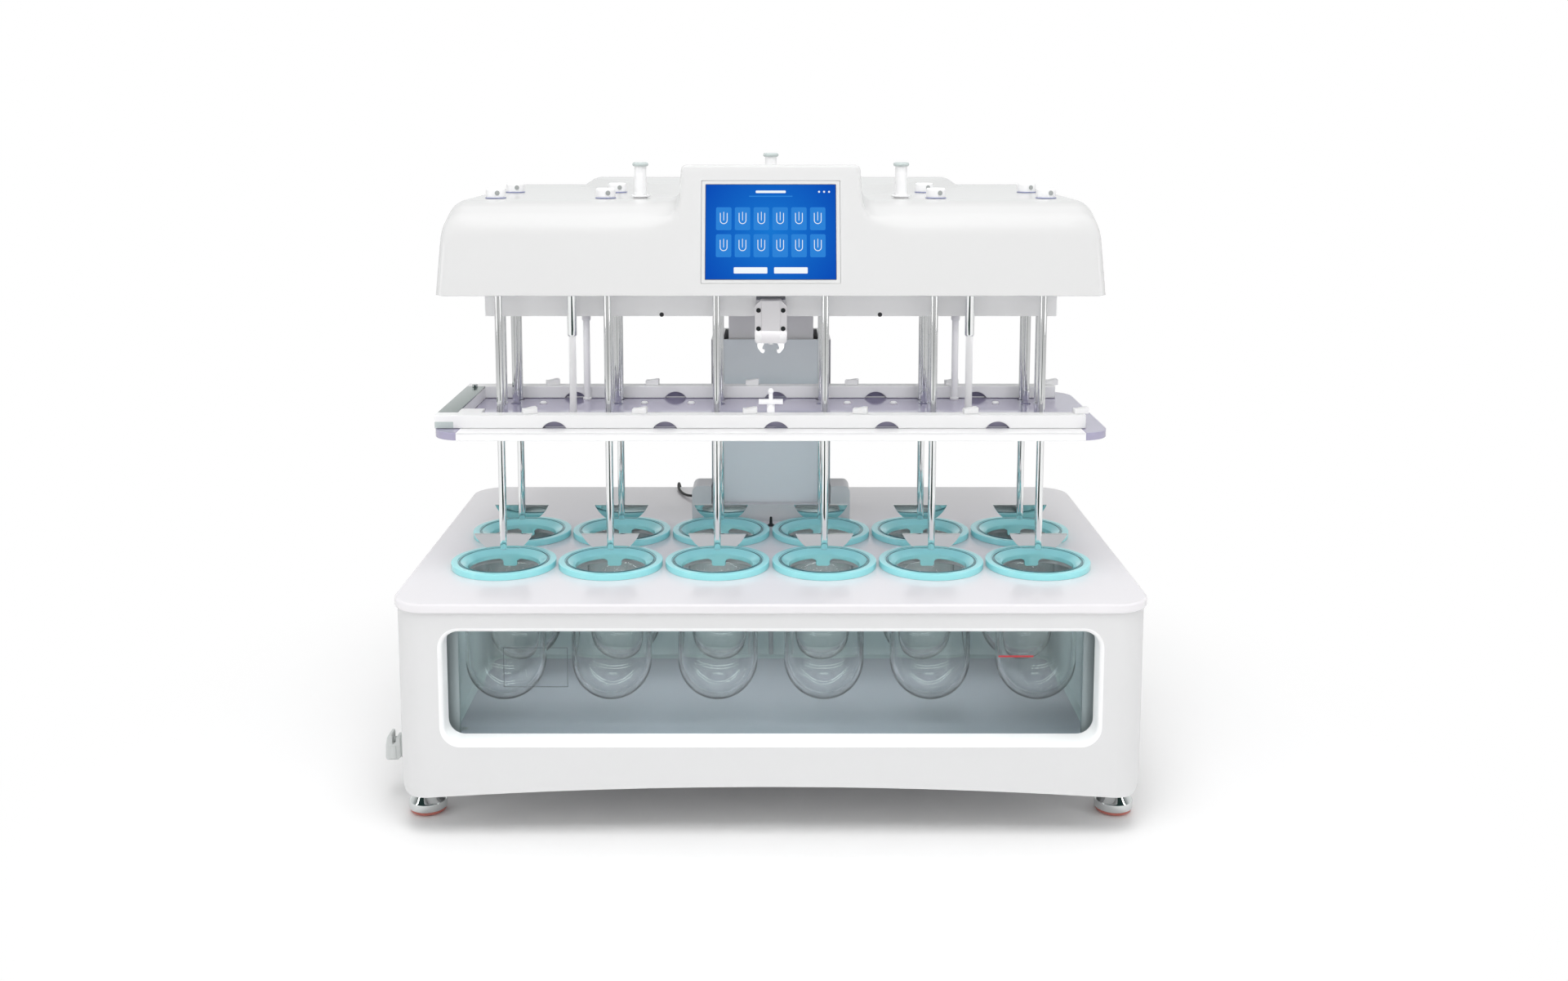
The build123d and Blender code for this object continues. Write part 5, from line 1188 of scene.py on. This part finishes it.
class TESTER_OT_paddles(bpy.types.Operator):
    """Makes the twelve paddles with their shafts, pulleys and white drive hubs"""

    bl_idname = "tester.paddles"
    bl_label = "Paddles"

    def blade(self):
        """The blade, straight above and below, with round ends."""
        half_top, half_low, drop = 0.03725, 0.021, 0.01541
        side_r = math.hypot(half_top, drop)
        top_angle = math.degrees(math.atan2(-drop, half_top))
        low_angle = math.degrees(math.atan2(-drop - (BLADE_HIGH - BLADE_LOW), half_low))
        right = arc((0, BLADE_HIGH + drop), side_r, top_angle, low_angle, 10)
        outline = right + [(-x, z) for x, z in reversed(right)]
        return upright_plate([outline], -0.002, 0.002, 0.0003, "mirror")

    def execute(self, context):
        groove_low, groove_high = PULLEY_LOW + 0.0015, PULLEY_LOW + 0.0105
        pulley = [
            (SHAFT_R, PULLEY_LOW), (0.020, PULLEY_LOW), (0.020, PULLEY_LOW + 0.001), (0.0188, groove_low),
            (0.0188, groove_high), (0.020, PULLEY_LOW + 0.011), (0.020, PULLEY_LOW + 0.012),
            (SHAFT_R, PULLEY_LOW + 0.012),
        ]
        hub = [
            (0.0, HUB_LOW), (0.0118, HUB_LOW), (0.01225, HUB_LOW + 0.001), (0.01225, HUB_HIGH - 0.002),
            (0.0112, HUB_HIGH), (0.0, HUB_HIGH),
        ]
        forms = [
            turned(rod(SHAFT_R, BLADE_LOW - 0.001, HUB_LOW), 0.0005, "polished", sides=32),
            self.blade(),
            lathe(pulley, "rail_metal", sides=36),
            turned(hub, 0.0008, "resin", sides=36),
            turned(rod(0.0132, HUB_LOW - 0.0007, HUB_LOW + 0.0002), 0.0003, "washer"),
        ]
        for x in (-0.0055, 0.0055):
            forms.append(turned(rod(0.0015, HUB_HIGH - 0.001, HUB_HIGH), 0.0003, "mirror", (x, 0.0), 16))
        # The small grey ring on the side of the hub
        rim = lathe([(0.0022, 0.0), (0.0030, 0.0), (0.0030, 0.0004), (0.0022, 0.0004)], "valve", sides=24)
        side = Matrix.Translation((0.004, -0.01158, 0.7752)) @ Matrix.Rotation(math.radians(19), 4, "Z")
        forms.append(placed(rim, side @ LEAN))
        rows = []
        for number, place in enumerate(STATIONS, start=1):
            node = f"paddle_{number:02d}"
            rows.append((f"stirrer_{number:02d}", node, node, place))
        repeat(rows, forms, merge=False)
        return {"FINISHED"}


PROBE_R = 0.00465
PROBE_YS = (low("probe_tubes").y + PROBE_R, high("probe_tubes").y - PROBE_R)
ROD_SPREAD = 0.252
COLLAR_LOW = 0.760
POSTS = ((-0.1636, -0.125, 0), (0.1636, -0.125, 0), (0, -0.0565, 0.010))


class TESTER_OT_probes(bpy.types.Operator):
    """Turns the sampling probes, the guide posts with their collars and the tray's rods in their sleeves"""

    bl_idname = "tester.probes"
    bl_label = "Probes and posts"

    def execute(self, context):
        bottom, top = low("probe_tubes").z, high("probe_tubes").z
        neck_r = PROBE_R - 0.0005
        line = [
            (0.0, bottom), (0.0036, bottom), (PROBE_R, bottom + 0.003), (PROBE_R, bottom + 0.016),
            (neck_r, bottom + 0.0165), (neck_r, bottom + 0.0175), (PROBE_R, bottom + 0.018), (PROBE_R, top),
            (0.0, top),
        ]
        tubes = [lathe(line, "polished", (x, y), 28) for y in PROBE_YS for x in COLUMN_XS]
        piece("sampling_probes", tubes, "probe_carriage", "probe_tubes")

        posts, collars = [], []
        foot = high("probe_carriage").z
        for x, y, rise in POSTS:
            at = (CENTRE_X + x, y)
            neck, head, disc = 0.808 + rise, 0.813 + rise, 0.770 + rise
            cap = [
                (0, neck), (0.0088, neck), (0.0100, neck + 0.0015), (0.0100, neck + 0.003), (0.0090, head),
                (0, head),
            ]
            collar = [
                (0.0078, COLLAR_LOW), (0.0090, COLLAR_LOW), (0.0090, disc), (0.0120, disc),
                (0.0120, disc + 0.002), (0.0078, disc + 0.002), (0.0078, COLLAR_LOW),
            ]
            posts.append(lathe(rod(0.0075, foot, neck), "resin", at))
            posts.append(turned(cap, 0.001, "cap", at))
            collars.append(lathe(eased(collar, 0.0004), "resin", at, caps=False))
        piece("lift_posts", posts, "probe_carriage", "guide_posts")
        piece("post_collars", collars, "head", "guide_collars")

        sleeves, rods = [], []
        bottom, top = low("rod_sleeves").z, high("rod_sleeves").z
        sleeve = [
            (0.0048, bottom), (0.0052, bottom), (0.0060, bottom + 0.0015), (0.0060, top), (0.0048, top),
            (0.0048, bottom),
        ]
        foot_top = TRAY_TOP + 0.003
        for y, finish in ((FRONT_ROW_Y, "polished"), (BACK_ROW_Y, "resin")):
            for x in (CENTRE_X - ROD_SPREAD, CENTRE_X + ROD_SPREAD):
                sleeves.append(lathe(sleeve, finish, (x, y), caps=False))
                rods.append(lathe(rod(0.0045, foot_top, high("tray_rods").z), "resin", (x, y)))
                rods.append(turned(rod(0.006, TRAY_TOP, foot_top), 0.0005, "resin", (x, y)))
        piece("tray_sleeves", sleeves, "head", "rod_sleeves")
        piece("tray_hangers", rods, "tray", "tray_rods")
        return {"FINISHED"}


class TESTER_OT_tray(bpy.types.Operator):
    """Makes the smoky tray plate, its white front strip and the plugs in it"""

    bl_idname = "tester.tray"
    bl_label = "Tray"

    def execute(self, context):
        lowest, highest = low("tray_plate"), high("tray_plate")
        centre = (CENTRE_X, (lowest.y + highest.y) / 2)
        corner, shaft_hole_r, probe_hole_r, sensor_hole_r = 0.035, 0.0069, 0.0067, 0.004
        outlines = [rectangle(highest.x - lowest.x, highest.y - lowest.y, corner, centre, 14)]
        outlines += [circle(shaft_hole_r, place.xy, 28) for place in STATIONS]
        outlines += [circle(probe_hole_r, (x, y), 28) for y in PROBE_YS for x in COLUMN_XS]
        outlines.append(circle(sensor_hole_r, middle("bath_sensor").xy, 24))
        left, right, front = low("tray_strip").x, high("tray_strip").x, low("tray_strip").y
        back = low("rail_front").y + 0.002
        rim = [(left, front), (right, front), (right, back), (left, back)]
        forms = [plate(outlines, lowest.z, highest.z, 0.0006, "tray")]
        forms.append(plate([rim], highest.z - 0.0005, highest.z + 0.0001, 0, "resin"))
        crisp(piece("tray", forms, "tray", "tray_plate", merge=False))
        keep("tray_strip", "resin", 0.0008)
        plug = [
            (0, TRAY_TOP), (0.0048, TRAY_TOP), (0.0048, TRAY_TOP + 0.0012), (0.0036, TRAY_TOP + 0.003),
            (0, TRAY_TOP + 0.003),
        ]
        y = low("tray_plugs").y + 0.0045
        plugs = []
        for x in (-0.308, -0.171, -0.108, 0.1035, 0.166, 0.304):
            plugs.append(turned(plug, 0.0005, "resin", (CENTRE_X + x, y)))
        piece("tray_studs", plugs, "tray", "tray_plugs")
        return {"FINISHED"}


RAIL_DEPTH = 0.0205
SCALLOP_SHIFT = 0.0755
FLAP_SHIFT = 0.043
FLAP_YAWS = (20.0, -6.0, 0.0, -12.0, 9.0, 4.0)


class TESTER_OT_tablet_frame(bpy.types.Operator):
    """Makes the sliding tablet frame: two scalloped rails, the end beam, its plate and the well covers"""

    bl_idname = "tester.tablet_frame"
    bl_label = "Tablet frame"

    scallop_width: length_setting("Scallop width", "Width of a cut-out", 0.030)
    scallop_height: length_setting("Scallop rise", "Height of a cut-out", 0.0085)

    def rail_outline(self, left, right, bottom, top):
        """The front view of a rail, with scallops in its lower edge."""
        outline = [(right, top), (left, top), (left, bottom)]
        half, rise = self.scallop_width / 2, self.scallop_height
        radius = (half**2 + rise**2) / (2 * rise)
        sweep = math.degrees(math.asin(half / radius))
        for x in COLUMN_XS[:-1]:
            outline += arc((x + SCALLOP_SHIFT, bottom + rise - radius), radius, 90 + sweep, 90 - sweep, 14)
        return outline + [(right, bottom)]

    def execute(self, context):
        left, right = low("rail_back").x, high("rail_back").x
        bottom, top = low("rail_back").z, high("rail_back").z
        outline = self.rail_outline(left, right, bottom, top)
        for node, label in (("rail_front", "front_rail"), ("rail_back", "back_rail")):
            front = low(node).y
            forms = [upright_plate([outline], front, front + RAIL_DEPTH, 0.0012, "resin")]
            for x in COLUMN_XS[:-1]:
                spot = (x + SCALLOP_SHIFT, bottom + 0.0049)
                back = rectangle(self.scallop_width + 0.002, 0.0090, 0.0005, spot)
                forms.append(upright_plate([back], front + 0.010, front + 0.012, 0, "tray"))
            if node == "rail_front":
                pad = Vector((left + 0.025, front + RAIL_DEPTH - 0.001, bottom))
                forms.append(block(pad, (pad.x + 0.030, high(node).y, top), 0.0012, "resin"))
                tag = rectangle(0.023, 0.008, 0.0005, (left + 0.012, bottom + 0.0045))
                forms.append(upright_plate([tag], front - 0.0002, front + 0.001, 0.0001, "cap"))
            crisp(piece(label, forms, "tablet_frame", node, merge=False))
        keep("end_beam", "resin", 0.001)

        plate_low, plate_high = low("end_plate"), high("end_plate")
        sheet = block(plate_low, (plate_high.x, plate_high.y, top), 0.0004, "gunmetal")
        dome = [(0, top), (0.004, top), (0.004, top + 0.0035), (0.0034, top + 0.004), (0, top + 0.004)]
        stud = turned(dome, 0.0004, "mirror", ((plate_low.x + plate_high.x) / 2, low("rail_back").y - 0.008))
        piece("end_sheet", [sheet, stud], "tablet_frame", "end_plate")

        flap = [(-0.009, 0), (0.009, 0), (0.009, 0.008), (0.004, 0.0078), (-0.004, 0.0062), (-0.009, 0.0062)]
        shape = upright_plate([eased(flap, 0.001, closed=True)], -0.005, 0.005, 0.0006, "resin")
        flaps = []
        for node in ("rail_front", "rail_back"):
            y = low(node).y + RAIL_DEPTH - 0.007
            for x, yaw in zip(COLUMN_XS, FLAP_YAWS):
                turn = Matrix.Rotation(math.radians(yaw), 4, "Z")
                flaps.append(placed(shape, Matrix.Translation((x + FLAP_SHIFT, y, top)) @ turn))
        piece("well_flaps", flaps, "tablet_frame", "well_covers", merge=False)
        return {"FINISHED"}


CATCH_Y = -0.123
PIVOT_X = 0.01405
PIVOT_Z = 0.5903
BALL_Z = 0.5215
BALL_R = 0.00375
BAR_LOW = 0.505
BAR_HIGH = 0.5105


class TESTER_OT_catch(bpy.types.Operator):
    """Makes the catch block with its claws, and the ball post on the tray"""

    bl_idname = "tester.catch"
    bl_label = "Catch"

    def execute(self, context):
        self.body()
        self.claws()
        self.post()
        return {"FINISHED"}

    def body(self):
        """The block of two plates round a core, with its rib, screws, pivots and stop."""
        lowest, highest = low("catch_block"), high("catch_block")
        face = lowest.y + 0.0012
        half, top, bottom = 0.0203, highest.z, lowest.z
        chamfer, nick, core_low = 0.0075, 0.0025, 0.5965
        outline = [
            (-half + chamfer, top), (-half, top - chamfer), (-half, bottom + nick), (-half + nick, bottom),
            (half - nick, bottom), (half, bottom + nick), (half, top - chamfer), (half - chamfer, top),
        ]
        outline = [(CENTRE_X + x, z) for x, z in eased(outline, 0.0012, closed=True)]
        core = [(x, max(z, core_low)) for x, z in outline]
        rib = rectangle(0.0234, top - bottom - 0.001, 0.001, (CENTRE_X, (top + bottom) / 2))
        forms = [
            upright_plate([outline], face, face + 0.0042, 0.0005, "block"),
            upright_plate([outline], face + 0.0118, face + 0.0157, 0.0005, "block"),
            upright_plate([core], face + 0.003, face + 0.013, 0.0002, "block"),
            upright_plate([rib], lowest.y, face + 0.001, 0.0005, "block"),
        ]
        screw = lathe(rod(0.0030, 0, 0.0006), "dark", sides=20)
        socket = lathe(rod(0.0012, 0.0006, 0.0008), "mirror", sides=6)
        cap = turned([(0, 0), (0.0052, 0), (0.0052, 0.0009), (0, 0.0012)], 0.0003, "resin", sides=28)
        pin = lathe(rod(0.0019, -0.0155, 0), "mirror", sides=16)
        places = [(screw, socket, x, z) for x in (-0.0156, 0.0156) for z in (0.603, 0.6264)]
        places += [(cap, pin, x, PIVOT_Z) for x in (-PIVOT_X, PIVOT_X)]
        for first, second, x, z in places:
            forms += [to_front(form, CENTRE_X + x, face, z) for form in (first, second)]
        forms.append(lathe(rod(0.0026, bottom - 0.0015, bottom + 0.002), "resin", (CENTRE_X, face + 0.002)))
        piece("catch_body", forms, "head", "catch_block", merge=False)

    def claws(self):
        """The two claws, each a hook with an eye on its pivot."""
        arm = [
            (0.0102, 0.5903), (0.0080, 0.5840), (0.0104, 0.5790), (0.0108, 0.5765), (0.0074, 0.5745),
            (0.0088, 0.5708), (0.0118, 0.5712), (0.0168, 0.5775), (0.0172, 0.5815), (0.0164, 0.5860),
            (0.0180, 0.5903),
        ]
        for side, body in ((1, "claw_right"), (-1, "claw_left")):
            hook = [(CENTRE_X + side * u, z) for u, z in eased(arm, 0.0008, closed=True)]
            pivot = (CENTRE_X + side * PIVOT_X, PIVOT_Z)
            eye = [circle(0.0049, pivot, 28), circle(0.0021, pivot, 20)]
            forms = [
                upright_plate([hook], CATCH_Y - 0.0034, CATCH_Y + 0.0034, 0.0006, "resin"),
                upright_plate(eye, CATCH_Y - 0.0035, CATCH_Y + 0.0035, 0.0005, "resin"),
            ]
            piece(f"{body}_arm", forms, body, body, merge=False)

    def post(self):
        """The post on the tray with its bar, its knob and the ball that the claws take."""
        at = (CENTRE_X, CATCH_Y)
        column = [
            (0, TRAY_TOP), (0.008, TRAY_TOP), (0.008, TRAY_TOP + 0.003), (0.005, TRAY_TOP + 0.0035),
            (0.005, BAR_LOW), (0, BAR_LOW),
        ]
        ball = arc((0, BALL_Z), BALL_R, -50, 90, 14)
        neck = [(0, BAR_HIGH - 0.0005), (0.0026, BAR_HIGH - 0.0005), (0.0026, ball[0][1] - 0.0004)] + ball
        half_x, half_y = 0.0155, 0.0045
        bar_low = (CENTRE_X - half_x, CATCH_Y - half_y, BAR_LOW)
        bar_high = (CENTRE_X + half_x, CATCH_Y + half_y, BAR_HIGH)
        knob = [(0, 0), (0.0026, 0), (0.0026, 0.009), (0.005, 0.009), (0.005, 0.014), (0, 0.014)]
        forms = [
            turned(column, 0.0006, "resin", at),
            lathe(neck, "resin", at),
            block(bar_low, bar_high, 0.0006, "resin"),
            to_front(turned(knob, 0.0009, "resin", sides=28), CENTRE_X, CATCH_Y, 0.4995),
        ]
        piece("ball_post", forms, "tray", "catch_post", merge=False)


# Each lamp's name, place, aim, width, height if it isn't square, power, and whether polished pieces mirror it
LAMPS = (
    ("top_light", (0.0, 0.5, 2.6), (0.0, 0.0, 0.4), 2.0, None, 5, True),
    ("key_light", (0.0, -1.3, 3.0), (0.0, -0.2, 0.2), 1.6, None, 50, False),
    ("front_light", (0.0, -3.0, 0.9), (0.0, 0.0, 0.35), 2.0, None, 5, False),
    ("left_light", (-2.4, -1.3, 1.0), (0.0, 0.0, 0.30), 0.3, 1.4, 7, True),
    ("right_light", (2.4, -1.3, 1.0), (0.0, 0.0, 0.30), 0.3, 1.4, 7, True),
    ("bath_light", (0.0, -0.0565, 0.278), (0.0, -0.0565, 0.0), 0.76, 0.012, 0.45, True),
    ("window_light", (0.0, -0.215, 0.278), (0.0, -0.215, 0.0), 0.76, 0.012, 0.35, True),
    ("tray_light", (0.0, -0.08, 0.60), (0.0, -0.08, 0.0), 0.80, 0.12, 0.40, False),
    ("deck_light", (0.0, -0.06, 0.46), (0.0, -0.06, 0.0), 0.80, 0.25, 0.22, False),
    ("column_light", (0.0, -0.14, 0.50), (0.0, 0.10, 0.47), 0.20, 0.20, 0.07, False),
)


class TESTER_OT_stage(bpy.types.Operator):
    """Lays the pale floor and sets the studio light"""

    bl_idname = "tester.stage"
    bl_label = "Stage"

    floor_size: length_setting("Floor", "Width of the floor", 40.0)

    def execute(self, context):
        half = self.floor_size / 2
        ground = [(-half, -half, 0), (half, -half, 0), (half, half, 0), (-half, half, 0)]
        floor = self.sheet(context, "floor", ground, fading_floor("pale_floor", (0.90, 0.90, 0.90)))

        corners = [(-0.62, -7, 0.004), (0.55, -7, 0.004), (0.40, -0.85, 0.004), (-0.45, -0.85, 0.004)]
        green = coated("card_green", (0.012, 0.030, 0.026), 0.9, grain=30, relief=0.0)
        card = self.sheet(context, "dark_card", corners, green)
        card.visible_camera = False
        card.visible_diffuse = False
        card.visible_shadow = False
        card.visible_transmission = False

        context.scene.world = self.studio()
        context.scene.view_settings.view_transform = "Standard"
        for row in LAMPS:
            self.lamp(context, *row)
        return {"FINISHED"}

    def sheet(self, context, name, corners, material):
        """A flat sheet with four corners."""
        mesh = bpy.data.meshes.new(name)
        mesh.from_pydata(corners, [], [(0, 1, 2, 3)])
        mesh.materials.append(material)
        sheet = bpy.data.objects.new(name, mesh)
        context.collection.objects.link(sheet)
        return sheet

    def studio(self):
        """White round the camera's view, soft light on the pieces and a darker front in what they mirror."""
        world = bpy.data.worlds.new("studio")
        world.use_nodes = True
        tree = world.node_tree
        white = (1, 1, 1, 1)
        place = output_of(tree, "ShaderNodeTexCoord", "Generated")
        axes = tree.nodes.new("ShaderNodeSeparateXYZ")
        fill(axes, {"Vector": place})
        rise = {"Value": axes.outputs["Z"], "From Min": 0.1, "From Max": 0.8, "To Min": 0.85, "To Max": 0.30}
        depth = {"Value": axes.outputs["Y"], "From Min": -0.55, "From Max": 0.15}
        back = output_of(tree, "ShaderNodeMapRange", "Result", depth)
        fill(tree.nodes["Background"], {
            "Color": colour_mix(tree, back, (0.045, 0.085, 0.080), (0.98, 1.0, 0.995)),
            "Strength": output_of(tree, "ShaderNodeMapRange", "Result", rise),
        })
        sky = tree.nodes["Background"].outputs["Background"]
        plain = output_of(tree, "ShaderNodeBackground", "Background", {"Color": white, "Strength": 1.0})
        soft = output_of(tree, "ShaderNodeBackground", "Background", {"Color": white, "Strength": 0.70})
        ray = tree.nodes.new("ShaderNodeLightPath")
        light = shader_mix(tree, ray.outputs["Is Glossy Ray"], soft, sky)
        seen = shader_mix(tree, ray.outputs["Is Camera Ray"], light, plain)
        fill(tree.nodes["World Output"], {"Surface": seen})
        return world

    def lamp(self, context, name, spot, aim, width, height, power, mirrored):
        """A soft lamp that the camera doesn't see."""
        data = bpy.data.lights.new(name, "AREA")
        data.energy = power
        data.size = width
        if height:
            data.shape = "RECTANGLE"
            data.size_y = height
        lamp = bpy.data.objects.new(name, data)
        lamp.location = spot
        lamp.rotation_euler = (Vector(aim) - Vector(spot)).to_track_quat("-Z", "Y").to_euler()
        lamp.visible_camera = False
        lamp.visible_glossy = mirrored
        context.collection.objects.link(lamp)


OPERATORS = (
    TESTER_OT_camera,
    TESTER_OT_cable,
    TESTER_OT_cabinet,
    TESTER_OT_deck,
    TESTER_OT_bath,
    TESTER_OT_rings,
    TESTER_OT_column,
    TESTER_OT_feet,
    TESTER_OT_drain,
    TESTER_OT_cover,
    TESTER_OT_screen,
    TESTER_OT_chassis,
    TESTER_OT_paddles,
    TESTER_OT_probes,
    TESTER_OT_tray,
    TESTER_OT_tablet_frame,
    TESTER_OT_catch,
    TESTER_OT_stage,
)


class TESTER_PT_pieces(bpy.types.Panel):
    """The tester's sizes, finishes and pieces"""

    bl_idname = "TESTER_PT_pieces"
    bl_label = "Dissolution tester"
    bl_space_type = "VIEW_3D"
    bl_region_type = "UI"
    bl_category = "Tester"

    def draw(self, context):
        layout = self.layout
        for group in (sizes(), finishes()):
            box = layout.box()
            for name in group.bl_rna.properties.keys():
                if name not in ("rna_type", "name"):
                    box.prop(group, name)
        for operator in OPERATORS:
            layout.operator(operator.bl_idname)


CLASSES = (TesterSizes, TesterFinishes, *OPERATORS, TESTER_PT_pieces)


def register():
    """Registers the classes and the two groups of settings."""
    for cls in CLASSES:
        bpy.utils.register_class(cls)
    bpy.types.Scene.tester_sizes = PointerProperty(type=TesterSizes)
    bpy.types.Scene.tester_finishes = PointerProperty(type=TesterFinishes)


def unregister():
    """Takes the settings and the classes away."""
    del bpy.types.Scene.tester_finishes
    del bpy.types.Scene.tester_sizes
    for cls in reversed(CLASSES):
        bpy.utils.unregister_class(cls)


def main():
    """Builds every piece in order."""
    register()
    FINISH.update(make_finishes())
    for operator in OPERATORS:
        group, name = operator.bl_idname.split(".")
        getattr(getattr(bpy.ops, group), name)()
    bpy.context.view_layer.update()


if __name__ == "__main__":
    main()
